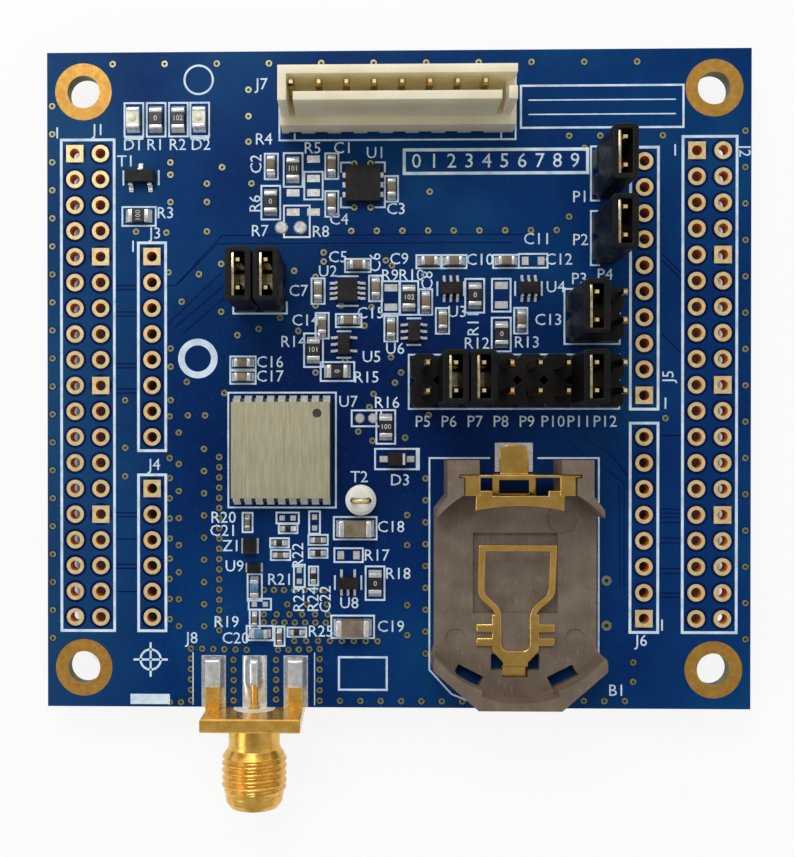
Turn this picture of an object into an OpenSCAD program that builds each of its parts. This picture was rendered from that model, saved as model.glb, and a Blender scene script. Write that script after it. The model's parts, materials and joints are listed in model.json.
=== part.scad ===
// Satellite receiver evaluation board: a two-layer circuit board with a shielded receiver module,
// an edge antenna jack, a coin cell holder, a wire header and jumper headers.
// Millimetres. The origin is the middle of the mounting hole pattern on the board's underside,
// +Z points to the component side and +Y to the edge that carries the wire header.

/* [Board] */
// Width of the board along X
board_w = 69; // [68:0.5:80]
// Depth of the board along Y
board_d = 64.5; // [64:0.5:76]
// Thickness of the board
board_t = 1.6; // [1.2:0.1:2]
// Distance between mounting holes along X
mount_dx = 61.8; // [60:0.1:63]
// Distance between mounting holes along Y
mount_dy = 56.8; // [55:0.1:58]
// Diameter of a mounting hole
mount_hole_d = 3.2; // [2.7:0.1:3.6]
// Diameter of the bare land round a mounting hole
mount_land_d = 5.6; // [4.6:0.1:6]

/* [Header holes] */
// Pitch of header holes and header pins
pitch = 2.54; // [2.5:0.01:2.58]
// Finished diameter of a header hole
header_hole_d = 1; // [0.9:0.05:1.2]
// Diameter of the ring round a header hole
header_ring_d = 1.7; // [1.5:0.05:1.9]
// Holes in one column of an outer header
outer_rows = 19; // [10:1:19]

/* [Jumper headers] */
// Side of a square header pin
pin_w = 0.64; // [0.5:0.02:0.7]
// Height of a pin tip above the board
pin_rise = 8.54; // [7:0.1:10]
// Length of a pin tail under the board
pin_tail = 1.5; // [1:0.1:2.5]
// Height of a header's moulded base
jumper_base_h = 2.54; // [1.8:0.05:3]
// Pairs of pins in the long jumper header
jumper_pairs = 8; // [4:1:8]
// Width of a jumper cap
cap_w = 2.4; // [2.1:0.05:2.45]
// Height of a jumper cap
cap_h = 5.9; // [4:0.1:7]
// Wall of a jumper cap at its ends
cap_end_wall = 0.5; // [0.3:0.05:0.7]

/* [Wire header] */
// Number of pins in the wire header
wire_pins = 8; // [4:1:8]
// Height of the shroud above the board
wire_shroud_h = 8.2; // [7:0.1:10]
// Height of the solid base under the shroud
wire_base_h = 2.9; // [2:0.1:4]
// Wall of the shroud
wire_wall = 0.8; // [0.6:0.05:1]

/* [Antenna jack] */
// Place of the jack along the board's edge
jack_x = -14; // [-15:0.1:-13]
// Side of the square flange
jack_flange_w = 9.5; // [8.5:0.1:10]
// Thickness of the flange
jack_flange_t = 1.3; // [1:0.1:2]
// Diameter of the neck behind the thread
jack_neck_d = 5; // [4.8:0.1:5.6]
// Length of the neck
jack_neck_l = 2.2; // [1:0.1:3]
// Outside diameter of the thread
jack_thread_d = 6.35; // [6:0.05:7]
// Length of the threaded barrel
jack_thread_l = 6; // [4:0.1:8]
// Diameter of the insulator
jack_insulator_d = 4.1; // [3.6:0.1:4.3]
// Diameter of the centre contact
jack_contact_d = 1.27; // [1:0.01:1.5]
// Length of the legs on the board
jack_leg_l = 4.9; // [3:0.1:5.1]

/* [Receiver module] */
// Width of the module along X
module_w = 9.7; // [9:0.1:10.4]
// Depth of the module along Y
module_d = 10.1; // [9.6:0.1:10.6]
// Thickness of the module's own board
module_board_t = 0.8; // [0.6:0.1:1]
// Height of the shield can
shield_h = 1.7; // [1.4:0.1:2.2]
// Sheet thickness of the shield can
shield_t = 0.2; // [0.12:0.02:0.3]
// Pitch of the edge terminals
module_pitch = 1.1; // [1:0.01:1.12]

/* [Coin cell holder] */
// Diameter of the coin cell
cell_d = 20; // [19.6:0.1:20.2]
// Width of the holder
holder_w = 15.7; // [15:0.1:16.5]
// Height of the holder's end walls above the board
holder_h = 5; // [4:0.1:6]
// Thickness of the holder's floor
holder_floor_t = 1.2; // [1:0.1:1.6]
// Sheet thickness of the contacts
contact_t = 0.25; // [0.15:0.05:0.3]

/* [Hidden] */
$fn = 40;
eps = 0.01;

// Shared clearances and skins
solder_t = 0.05;
plating_t = 0.05;
land_t = 0.1;
fit_gap = 0.02;
top_z = board_t;
chip_z = top_z + solder_t;

// Places below are given for a board of this size and spread with it
layout_w = 69;
layout_d = 64.5;
function spot_y(y) = y * board_d / layout_d;
function spot(p) = [p[0] * board_w / layout_w, spot_y(p[1])];

// Header hole layout: outer double columns and inner single columns
header_y = -0.55;
outer_x = 12 * pitch;
inner_x = 9.5 * pitch;
function column(x, y_top, n) = [for (i = [0 : n - 1]) [x, y_top - i * pitch]];
outer_top = header_y + (outer_rows - 1) / 2 * pitch;
left_outer = concat(column(-outer_x - pitch / 2, outer_top, outer_rows),
                    column(-outer_x + pitch / 2, outer_top, outer_rows));
right_outer = concat(column(outer_x - pitch / 2, outer_top, outer_rows),
                     column(outer_x + pitch / 2, outer_top, outer_rows));
left_upper = column(-inner_x, header_y + 5 * pitch, 8);
left_lower = column(-inner_x, header_y - 4 * pitch, 6);
right_upper = column(inner_x, header_y + 8.6 * pitch, 10);
right_lower = column(inner_x, header_y - 2 * pitch, 8);
left_outer_square = [0, outer_rows + 4, outer_rows + 9, outer_rows + 14];
right_outer_square = [0, outer_rows + 4, outer_rows + 9, outer_rows + 14];
open_holes = concat(left_outer, right_outer, left_upper, left_lower, right_upper, right_lower);

// Jumper header layout: each header keeps its distance to an inner header column
row_centre = [inner_x - 5 * pitch, spot_y(-0.22)];
right_centre = [inner_x - 2 * pitch, spot_y(6.15)];
left_centre = [-inner_x + 4.2 * pitch, spot_y(9.15)];
upper_centre = [inner_x - 1.5 * pitch, spot_y(20.1)];
lower_centre = [inner_x - 1.5 * pitch, spot_y(13.8)];
function pair_x(centre, pairs, i) = centre[0] + (i - (pairs - 1) / 2) * pitch;
function pair_pins(centre, pairs) =
    [for (i = [0 : pairs - 1]) for (s = [1, -1]) [pair_x(centre, pairs, i), centre[1] + s * pitch / 2]];
row_pins = pair_pins(row_centre, jumper_pairs);
right_pins = pair_pins(right_centre, 2);
left_pins = pair_pins(left_centre, 2);
upper_pins = pair_pins(upper_centre, 1);
lower_pins = pair_pins(lower_centre, 1);
jumper_pins = concat(row_pins, right_pins, left_pins, upper_pins, lower_pins);
cap_places = [
    [pair_x(row_centre, jumper_pairs, 1), row_centre[1]],
    [pair_x(row_centre, jumper_pairs, 2), row_centre[1]],
    [pair_x(row_centre, jumper_pairs, jumper_pairs - 2), row_centre[1]],
    [pair_x(right_centre, 2, 0), right_centre[1]],
    upper_centre,
    lower_centre,
    [pair_x(left_centre, 2, 0), left_centre[1]],
    [pair_x(left_centre, 2, 1), left_centre[1]]
];
hole_slack = 0.1;
cap_gap = 0.1;
cap_slack = 0.1;
pin_hole_d = pin_w * sqrt(2) + hole_slack;
cap_z = top_z + jumper_base_h + cap_gap;
cap_l = 2 * pitch - cap_slack;
cap_slot_w = pin_w + 2 * contact_t + cap_slack;

// Wire header layout
wire_first_x = -9.95;
wire_edge = 5.5;
wire_y = board_d / 2 - wire_edge;
wire_left_margin = 1.3;
wire_right_margin = 3.45;
wire_front_margin = 2.6;
wire_back_margin = 2.3;
wire_left_step = 0.1;
wire_right_step = 0.6;
wire_front_step = 0.8;
wire_back_step = 0.9;
wire_places = [for (i = [0 : wire_pins - 1]) [wire_first_x + i * pitch, wire_y]];
wire_left = wire_first_x - wire_left_margin;
wire_right = wire_first_x + (wire_pins - 1) * pitch + wire_right_margin;
wire_front = wire_y - wire_front_margin;
wire_back = wire_y + wire_back_margin;
wire_shroud_left = wire_left + wire_left_step;
wire_shroud_right = wire_right - wire_right_step;
wire_shroud_front = wire_front + wire_front_step;
wire_shroud_back = wire_back - wire_back_step;
wire_cavity_front = wire_shroud_front + wire_wall;
wire_cavity_back = wire_shroud_back - wire_wall;
wire_slot_w = 0.6;
wire_notch_w = 1.2;
wire_notch_h = 0.5;
wire_key_w = 1.2;
wire_key_h = 2.2;
wire_pin_drop = 0.4;

// Antenna jack layout: the contact's tail lies on the board's top
jack_y = -board_d / 2;
jack_tail_r = 0.38;
jack_z = chip_z + jack_tail_r;
jack_leg_w = 1.4;
jack_leg_h = 1.2;
jack_leg_x = jack_flange_w / 2 - jack_leg_w / 2;
jack_pad_w = 2.4;
jack_pad_over = 0.2;
jack_pad_l = jack_leg_l + jack_pad_over;
jack_len = jack_flange_t + jack_neck_l + jack_thread_l;
jack_chamfer = 0.5;
insulator_drop = 0.1;
contact_drop = 0.2;
contact_wall = 0.165;
socket_depth = 3;
leg_free_end = 1.6;
leg_solder_h = 0.9;
leg_solder_side = 0.1;
tail_solder_w = 1.7;

// Receiver module layout
module_at = spot([-11.3, -6.92]);
module_pins = 9;
module_z = chip_z;
can_side = 0.1;
terminal_in = 0.4;
can_w = module_w - 2 * can_side;
can_d = module_d - 2 * terminal_in;
can_z = module_z + module_board_t;
terminal_w = 0.7;
terminal_out = 0.3;
function terminal_x(i) = (i - (module_pins - 1) / 2) * module_pitch;

// Coin cell holder layout, from the centre of the cell
cell_at = [inner_x - 5 * pitch, spot_y(-19.9)];
cell_gap = 0.25;
post_depth = 1.8;
arc_wall = 1.25;
cell_r = cell_d / 2 + cell_gap;
holder_top = cell_r + post_depth;
holder_bottom = -cell_r - arc_wall;
holder_side = holder_w / 2;
holder_rim_y = sqrt(cell_r * cell_r - holder_side * holder_side);
holder_shoulder = 1;
holder_neck = holder_side - holder_shoulder;
holder_foot_half = 3.9;
holder_horn = 0.3;
shoulder_rise = [0.75, 2.05];
horn_rise = [0.6, -0.4, -1.2];
post_inner = 3.85;
strip_back = 1.4;
strip_grip = 1.85;
strip_y = holder_top - strip_back;
strip_half = post_inner + strip_grip;
strip_drop = 0.35;
strip_top = holder_h - strip_drop;
foot_half = 1.4;
foot_out = 2.85;
foot_round = 0.8;
foot_pad_half = 1.85;
fork_half = 2.15;
fork_w = 0.7;
fork_in = 2;
fork_bar = 0.35;
fork_gap = 0.15;
blade_in = 1.45;
blade_top = strip_y - blade_in;
blade_half = 4.15;
blade_l = 1.4;
blade_lean = 8;
blade_arch_r = 18.9;
blade_ear_w = 1.5;
blade_ear_h = 0.5;
link_in = 3.75;
link_out = 5.2;
link_z = strip_top - contact_t;
link_gap = 0.1;
tail_half = 1.2;
tail_in = 2.25;
tail_y = -cell_r + tail_in;
tail_out = 0.5;
tail_window = 1.15;
plate_half = 2.25;
plate_lap = 0.2;
slot_half = 1.4;
web_y = -6.5;
web_step = 0.4;
finger_half = 3.75;
finger_w = 0.75;
finger_y = [-4.65, -6];
arm_y = -3.15;
arm_w = 0.6;
arm_half = 3.4;
arm_l = 6.7;
arm_swing = 2.9;
arm_rise = 13;
arm_steps = 12;
arm_waist = slot_half + arm_w / 2;
arm_line = concat(
    curve([[arm_waist, 0], [arm_waist, arm_swing / 2], [arm_half, arm_swing / 2], [arm_half, arm_swing]],
          arm_steps),
    [[arm_half, arm_l]]
);
slot_gap = 0.05;
pad_margin = 0.2;
channel_gap = 0.2;
channel_h = contact_t + channel_gap;
recess_t = 0.5;
window_half = 4.1;
window_top = 4.95;
window_bottom = -2.85;
flank_half = 2.35;
flank_top = -6.8;
flank_bottom = -8.4;

// Chip sizes: length, width, height, end cap length
size_0402 = [1, 0.5, 0.4, 0.22];
size_0603 = [1.6, 0.8, 0.8, 0.35];
size_0805 = [2, 1.25, 0.5, 0.4];
size_1206 = [3.2, 1.6, 1.5, 0.55];
size_led = [2, 1.25, 0.8, 0.4];
solder_toe = 0.3;

// Chip places: x, y and turn. A turn of 90 stands the chip along Y.
resistor_places = [
    [-23.7, 25.6, 90], [-21.5, 25.6, 90], [-25.4, 16.1, 0], [-10.2, 20.6, 90], [-12.4, 17.4, 90],
    [1.15, 8, 90], [-8.2, 2.9, 90], [-5.85, 0.8, 0], [7.6, 8.2, 90], [10.2, 4.4, 90],
    [-1.1, -4.65, 90], [-2.15, -20, 90]
];
small_resistor_places = [
    [-10.7, -14.65, 0], [-11.55, -16.05, 0], [-7.75, -17.05, 0], [-8.2, -19.3, 90], [-9.85, -24.85, 0]
];
capacitor_places = [
    [-12.35, 20.95, 90], [-6.4, 20.95, 90], [-6.4, 17.25, 90], [-0.55, 18.7, 90], [-3.85, 11.2, 0],
    [-7.75, 8.7, 90], [-2.1, 8.95, 90], [2.8, 7.6, 90], [-7.35, 5.3, 90], [-4.75, 5.8, 0],
    [-15.15, 1.65, 0], [-15.15, 0.25, 0], [3.15, 11.55, 0], [5.55, 11.55, 0], [10.65, 11.55, 0],
    [4.45, 5.75, 90], [12.1, 5.75, 90], [-0.6, 5, 90]
];
small_capacitor_places = [
    [-11.45, -17.25, 0], [-7.75, -15.75, 0], [-14, -23.6, 90], [-14.7, -14.05, 90], [-11.55, -25.25, 90]
];
large_capacitor_places = [[-4.1, -14.6, 0], [-4.35, -24.3, 0]];
led_places = [[-25.9, 25.6, 90], [-19.4, 25.6, 90]];
inductor_places = [[-14, -20.45, 90], [-13.5, -24.95, 0]];

// Pads of parts that are not fitted, by chip size, and round test pads
bare_0805 = [[-8.2, 20.7, 90], [-10.2, 17.4, 90], [-8.2, 17.4, 90], [-0.6, 8.05, 90], [10.2, 8.25, 90]];
bare_0603 = [[13.3, 11.6, 0], [-4.75, -17.25, 0]];
bare_0402 = [[-10.75, -13.6, 0], [-8.1, -14.05, 90], [-9.6, -19.3, 90], [-13.5, -22.1, 0]];
test_pad_places = [[-11.35, 14.95, 0.65], [-9.5, 14.95, 0.65], [-3.65, -3.8, 0.5], [-2.35, -3.8, 0.5]];

// Leaded packages: body size, lead pitch, lead width and span over the lead feet
small_body = [2, 1.25, 0.9];
small_lead_pitch = 0.65;
small_lead_w = 0.25;
small_span = 2.3;
six_lead_places = [[5.25, 8.9, 0], [12.85, 8.9, 0], [1.65, 4.7, 90]];
five_lead_places = [[-5.2, 3.45, -90], [-4.8, -19.95, 0]];
eight_body = [2.3, 2, 0.9];
eight_lead_pitch = 0.5;
eight_span = 3.2;
eight_at = [-4.85, 8.7, 90];
transistor_body = [2.9, 1.3, 1];
transistor_lead_pitch = 0.95;
transistor_lead_w = 0.42;
transistor_span = 2.5;
transistor_at = [-25.2, 19.9, 0];
diode_body = [1.9, 1.3, 1];
diode_span = 3.1;
diode_lead_w = 0.6;
diode_at = [0, -7.8, 90];
lead_t = 0.13;
foot_l = 0.35;
lead_toe = 0.15;
knee_out = 0.18;
root_in = 0.02;
stand_off = 0.05;

// Leadless packages
sensor_body = [3.4, 3.5, 1];
sensor_at = spot([-3.35, 19.1]);
sensor_pad = [0.6, 0.5];
sensor_pad_pitch = 0.95;
flat_pad_w = 0.4;
filter_body = [1.3, 1.5, 0.6];
filter_at = spot([-14.45, -16.35]);
amplifier_body = [1.3, 0.9, 0.5];
amplifier_at = spot([-14.05, -18.5]);

// Test point
test_at = spot([-3.55, -11.8]);
bead_r = 1.5;
bead_h = 1.3;
loop_r = 0.75;
loop_wire_r = 0.28;
loop_leg = 0.7;

// Puts children on the board at a place and turn, at height z
module place(at, z) {
    translate([spot(at)[0], spot(at)[1], z])
        rotate([0, 0, at[2]])
            children();
}

module drill(at, d) {
    translate([at[0], at[1], -1])
        cylinder(d = d, h = board_t + 2);
}

module mount_places() {
    for (sx = [-1, 1])
        for (sy = [-1, 1])
            translate([sx * mount_dx / 2, sy * mount_dy / 2, 0])
                children();
}

module circuit_board() {
    color([0.05, 0.17, 0.45])
        difference() {
            translate([-board_w / 2, -board_d / 2, 0])
                cube([board_w, board_d, board_t]);
            mount_places() {
                translate([0, 0, -1])
                    cylinder(d = mount_hole_d, h = board_t + 2);
                for (z = [-1, top_z - land_t])
                    translate([0, 0, z])
                        cylinder(d = mount_land_d, h = 1 + land_t);
            }
            for (at = open_holes)
                drill(at, header_hole_d + 2 * plating_t);
            for (at = concat(jumper_pins, wire_places))
                drill(at, pin_hole_d);
        }
}

module mounting_hole_lands() {
    color([0.83, 0.66, 0.3])
        mount_places()
            for (z = [0, top_z - land_t])
                translate([0, 0, z])
                    difference() {
                        cylinder(d = mount_land_d, h = land_t);
                        translate([0, 0, -1])
                            cylinder(d = mount_hole_d, h = 2 + land_t);
                    }
}

// Plated hole: a barrel through the board with a ring on each face. Pin one has a square ring.
module plated_hole(at, square_ring) {
    translate([at[0], at[1], 0])
        difference() {
            union() {
                translate([0, 0, -solder_t])
                    cylinder(d = header_hole_d + 2 * plating_t, h = board_t + 2 * solder_t);
                for (z = [-solder_t, top_z])
                    translate([0, 0, z])
                        if (square_ring)
                            translate([-header_ring_d / 2, -header_ring_d / 2, 0])
                                cube([header_ring_d, header_ring_d, solder_t]);
                        else
                            cylinder(d = header_ring_d, h = solder_t);
            }
            translate([0, 0, -1])
                cylinder(d = header_hole_d, h = board_t + 2);
        }
}

module plated_holes(places, square) {
    color([0.85, 0.75, 0.52])
        for (i = [0 : len(places) - 1])
            plated_hole(places[i], len(search(i, square)) > 0);
}

module left_outer_header_holes() { plated_holes(left_outer, left_outer_square); }
module right_outer_header_holes() { plated_holes(right_outer, right_outer_square); }
module left_upper_header_holes() { plated_holes(left_upper, [0]); }
module left_lower_header_holes() { plated_holes(left_lower, [0]); }
module right_upper_header_holes() { plated_holes(right_upper, [len(right_upper) - 1]); }
module right_lower_header_holes() { plated_holes(right_lower, [len(right_lower) - 1]); }

// One flat pad, from the inner edge of an end cap to a toe past the chip's end
module chip_pad(size) {
    translate([size[0] / 2 - size[3], -size[1] / 2, 0])
        cube([size[3] + solder_toe, size[1], solder_t]);
}

module both_ends() {
    children();
    mirror([1, 0, 0])
        children();
}

module bare_pads(places, size) {
    for (at = places)
        place(at, top_z)
            both_ends()
                chip_pad(size);
}

module bare_solder_pads() {
    color([0.8, 0.8, 0.78]) {
        bare_pads(bare_0805, size_0805);
        bare_pads(bare_0603, size_0603);
        bare_pads(bare_0402, size_0402);
        for (at = test_pad_places)
            translate([spot(at)[0], spot(at)[1], top_z])
                cylinder(r1 = at[2], r2 = at[2] * 0.8, h = 3 * solder_t);
    }
}

module jack_places() {
    for (s = [-1, 1])
        translate([jack_x + s * jack_leg_x, jack_y, 0])
            children();
}

module antenna_jack_pads() {
    color([0.85, 0.7, 0.35]) {
        for (z = [top_z, -solder_t])
            translate([0, 0, z])
                jack_places()
                    translate([-jack_pad_w / 2, 0, 0])
                        cube([jack_pad_w, jack_pad_l, solder_t]);
        translate([jack_x - jack_pad_w / 2, jack_y, top_z])
            cube([jack_pad_w, jack_pad_l, solder_t]);
    }
}

// Half section of the jack behind its bore: neck, thread relief and chamfered barrel
module jack_barrel() {
    r = jack_thread_d / 2;
    rotate_extrude()
        polygon([
            [0, 0],
            [jack_neck_d / 2, 0],
            [jack_neck_d / 2, jack_neck_l],
            [r - jack_chamfer / 2, jack_neck_l],
            [r, jack_neck_l + jack_chamfer / 2],
            [r, jack_neck_l + jack_thread_l - jack_chamfer],
            [r - jack_chamfer, jack_neck_l + jack_thread_l],
            [0, jack_neck_l + jack_thread_l]
        ]);
}

module jack_axis(y) {
    translate([jack_x, jack_y - y, jack_z])
        rotate([90, 0, 0])
            children();
}

module antenna_jack_body() {
    color([0.84, 0.65, 0.25])
        difference() {
            union() {
                translate([jack_x - jack_flange_w / 2, jack_y - jack_flange_t, jack_z - jack_flange_w / 2])
                    cube([jack_flange_w, jack_flange_t, jack_flange_w]);
                jack_axis(jack_flange_t)
                    jack_barrel();
                for (z = [chip_z, -solder_t - jack_leg_h])
                    jack_places()
                        translate([-jack_leg_w / 2, -eps, z])
                            cube([jack_leg_w, jack_leg_l + eps, jack_leg_h]);
            }
            jack_axis(-1)
                cylinder(d = jack_insulator_d + 2 * fit_gap, h = jack_len + 2);
        }
}

module antenna_jack_insulator() {
    color([0.95, 0.94, 0.9])
        difference() {
            jack_axis(0)
                cylinder(d = jack_insulator_d, h = jack_len - insulator_drop);
            jack_axis(-1)
                cylinder(d = jack_contact_d + 2 * fit_gap, h = jack_len + 2);
        }
}

// Tail of the centre contact, along the board's top
module jack_tail() {
    jack_axis(-jack_leg_l + jack_pad_over)
        cylinder(r = jack_tail_r, h = jack_leg_l);
}

module antenna_jack_contact() {
    contact_l = jack_len - contact_drop;
    color([0.86, 0.68, 0.28])
        difference() {
            union() {
                jack_axis(0)
                    cylinder(d = jack_contact_d, h = contact_l);
                jack_tail();
            }
            jack_axis(contact_l - socket_depth)
                cylinder(d = jack_contact_d - 2 * contact_wall, h = socket_depth + 1);
        }
}

// Solder fillet along a leg: a wedge section run along Y, with the leg's own space left free
module solder_wedge(bottom_w, top_w, h, l) {
    rotate([90, 0, 180])
        linear_extrude(l)
            polygon([[-bottom_w / 2, 0], [bottom_w / 2, 0], [top_w / 2, h], [-top_w / 2, h]]);
}

module antenna_jack_solder() {
    color([0.78, 0.79, 0.8]) {
        for (side = [0, 1])
            jack_places()
                translate([0, 0, side == 0 ? chip_z : -solder_t])
                    mirror([0, 0, side])
                        difference() {
                            translate([0, leg_free_end, 0])
                                solder_wedge(jack_pad_w - 2 * leg_solder_side, jack_leg_w + leg_solder_side,
                                             leg_solder_h, jack_pad_l - leg_free_end);
                            translate([-jack_leg_w / 2, -1, -1])
                                cube([jack_leg_w, jack_leg_l + 1, leg_solder_h + 2]);
                        }
        difference() {
            translate([jack_x, jack_y + leg_free_end, chip_z])
                solder_wedge(tail_solder_w, 2 * jack_tail_r, jack_tail_r, jack_pad_l - leg_free_end);
            jack_tail();
        }
    }
}

module terminal_places() {
    for (side = [0, 1])
        translate([module_at[0], module_at[1], 0])
            mirror([0, side, 0])
                for (i = [0 : module_pins - 1])
                    translate([terminal_x(i), module_d / 2, 0])
                        children();
}

// The module's own board, with a half-round notch at each edge terminal
module module_board() {
    color([0.1, 0.25, 0.2])
        difference() {
            translate([module_at[0] - module_w / 2, module_at[1] - module_d / 2, module_z])
                cube([module_w, module_d, module_board_t]);
            terminal_places() {
                translate([-terminal_w / 2, -terminal_in, can_z - solder_t])
                    cube([terminal_w, terminal_in + 1, 1]);
                translate([0, 0, module_z - 1])
                    cylinder(d = terminal_w / 2 + 2 * plating_t, h = module_board_t + 2);
            }
        }
}

// Edge terminals: a pad on the main board, a plated half-round wall and a pad on the module
module module_terminals() {
    color([0.8, 0.78, 0.7])
        terminal_places()
            difference() {
                union() {
                    translate([-terminal_w / 2, -terminal_in, can_z - solder_t])
                        cube([terminal_w, terminal_in, solder_t]);
                    translate([-terminal_w / 2, -terminal_in, top_z])
                        cube([terminal_w, terminal_in + terminal_out, solder_t]);
                    intersection() {
                        translate([0, 0, top_z])
                            cylinder(d = terminal_w / 2 + 2 * plating_t, h = solder_t + module_board_t);
                        translate([-terminal_w, -terminal_w, 0])
                            cube([2 * terminal_w, terminal_w, can_z]);
                    }
                }
                translate([0, 0, chip_z])
                    cylinder(d = terminal_w / 2, h = module_board_t + 1);
            }
}

// Deep-drawn can: closed top with a small index dimple, open below
module module_shield() {
    index_in = [1.2, 1.1];
    index_d = 0.85;
    color([0.74, 0.7, 0.6])
        translate([module_at[0], module_at[1], can_z])
            difference() {
                translate([-can_w / 2, -can_d / 2, 0])
                    cube([can_w, can_d, shield_h]);
                translate([-can_w / 2 + shield_t, -can_d / 2 + shield_t, -1])
                    cube([can_w - 2 * shield_t, can_d - 2 * shield_t, shield_h + 1 - shield_t]);
                translate([can_w / 2 - index_in[0], can_d / 2 - index_in[1], shield_h - shield_t / 2])
                    cylinder(d = index_d, h = 1);
            }
}

module module_receiver_chip() {
    chip = [5, 5, 0.75];
    chip_at = [-3.4, -2.5];
    color([0.12, 0.12, 0.13])
        translate([module_at[0] + chip_at[0], module_at[1] + chip_at[1], can_z])
            cube(chip);
}

module module_crystal() {
    crystal = [2, 1.6, 0.7];
    crystal_at = [2, 0.4];
    color([0.75, 0.72, 0.6])
        translate([module_at[0] + crystal_at[0], module_at[1] + crystal_at[1], can_z])
            cube(crystal);
}

// Plan of the coin cell holder, from the centre of the cell
module holder_plan() {
    half = [
        [holder_neck, holder_top],
        [holder_neck, holder_rim_y + shoulder_rise[1]],
        [holder_side, holder_rim_y + shoulder_rise[0]],
        [holder_side, -holder_rim_y + horn_rise[0]],
        [holder_side + holder_horn, -holder_rim_y + horn_rise[1]],
        [holder_side + holder_horn, -holder_rim_y + horn_rise[2]],
        [holder_foot_half, holder_bottom]
    ];
    left = [for (i = [len(half) - 1 : -1 : 0]) [-half[i][0], half[i][1]]];
    polygon(concat(half, left));
}

module at_cell(z) {
    translate([cell_at[0], cell_at[1], z])
        children();
}

module battery_holder_body() {
    mark_r = 0.95;
    big_mark_r = 1.45;
    mark_x = 5.8;
    mark_y = 5.3;
    big_mark_at = [4.5, 6.3];
    mark_t = 0.12;
    foot_window_turn = 27;
    foot_window_l = 2.75;
    foot_window_w = 1.3;
    foot_window_back = 0.5;
    foot_window_rise = 1.6;
    wall_step_half = 3.6;
    wall_step_back = 0.55;
    color([0.5, 0.45, 0.4])
        at_cell(top_z)
            difference() {
                linear_extrude(holder_h)
                    holder_plan();
                // Seat of the cell, open to both sides
                translate([0, 0, holder_floor_t])
                    cylinder(r = cell_r, h = holder_h, $fn = 72);
                translate([-holder_side - 1, -holder_rim_y, holder_floor_t])
                    cube([2 * holder_side + 2, 2 * holder_rim_y, holder_h]);
                // Gap between the two top posts, and the slots and pockets that hold the side contact
                translate([-post_inner, strip_y - contact_t - fork_in - fork_gap, -1])
                    cube([2 * post_inner, holder_top, holder_h + 2]);
                translate([-link_out - link_gap, blade_top - blade_ear_h - link_gap, link_z - link_gap])
                    cube([2 * (link_out + link_gap), blade_in + blade_ear_h + link_gap, holder_h]);
                translate([-post_inner, holder_rim_y, holder_floor_t])
                    cube([2 * post_inner, holder_top, holder_h]);
                translate([-strip_half - slot_gap, strip_y - contact_t - slot_gap, holder_floor_t])
                    cube([2 * (strip_half + slot_gap), contact_t + 2 * slot_gap, holder_h]);
                // Recess under the spring of the base contact, and the channel of its tail
                translate([-window_half, window_bottom, holder_floor_t - recess_t])
                    cube([2 * window_half, window_top - window_bottom, holder_h]);
                translate([-tail_half - slot_gap, tail_y - tail_window, -1])
                    cube([2 * (tail_half + slot_gap), tail_window + contact_t + slot_gap,
                          holder_floor_t + 2]);
                translate([-tail_half - slot_gap, holder_bottom - 1, -1])
                    cube([2 * (tail_half + slot_gap), tail_y + contact_t + slot_gap - holder_bottom + 1,
                          1 + channel_h]);
                // Openings beside the tail, under the taper of the base contact
                for (s = [0, 1])
                    mirror([s, 0, 0])
                        translate([tail_half + slot_gap - eps, flank_bottom, -1])
                            cube([flank_half - tail_half - slot_gap + eps, flank_top - flank_bottom,
                                  holder_floor_t + 2]);
                // Windows at the foot of the curved wall, and its thinner middle
                for (s = [-1, 1])
                    rotate([0, 0, s * foot_window_turn])
                        translate([-foot_window_l / 2, -cell_r - foot_window_back, -1])
                            cube([foot_window_l, foot_window_w, holder_floor_t + 1 + foot_window_rise]);
                translate([0, 0, holder_floor_t])
                    intersection() {
                        cylinder(r = cell_r + wall_step_back, h = holder_h, $fn = 72);
                        translate([-wall_step_half, holder_bottom, 0])
                            cube([2 * wall_step_half, -holder_bottom, holder_h]);
                    }
                // Round ejector marks
                for (s = [-1, 1])
                    translate([s * mark_x, -mark_y, holder_floor_t - mark_t])
                        cylinder(r = mark_r, h = 1);
                translate([big_mark_at[0], big_mark_at[1], holder_floor_t - mark_t])
                    cylinder(r = big_mark_r, h = 1);
            }
}

// Outline of a strip of even width along a line of points
function side_of(line, i) =
    let (ahead = line[min(i + 1, len(line) - 1)], behind = line[max(i - 1, 0)], run = ahead - behind)
        [-run[1], run[0]] / norm(run);
function stroke(line, w) = concat(
    [for (i = [0 : len(line) - 1]) line[i] + side_of(line, i) * w / 2],
    [for (i = [len(line) - 1 : -1 : 0]) line[i] - side_of(line, i) * w / 2]
);
function bezier(p, t) =
    pow(1 - t, 3) * p[0] + 3 * t * pow(1 - t, 2) * p[1] + 3 * t * t * (1 - t) * p[2] + pow(t, 3) * p[3];
function curve(p, steps) = [for (i = [0 : steps]) bezier(p, i / steps)];

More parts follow.
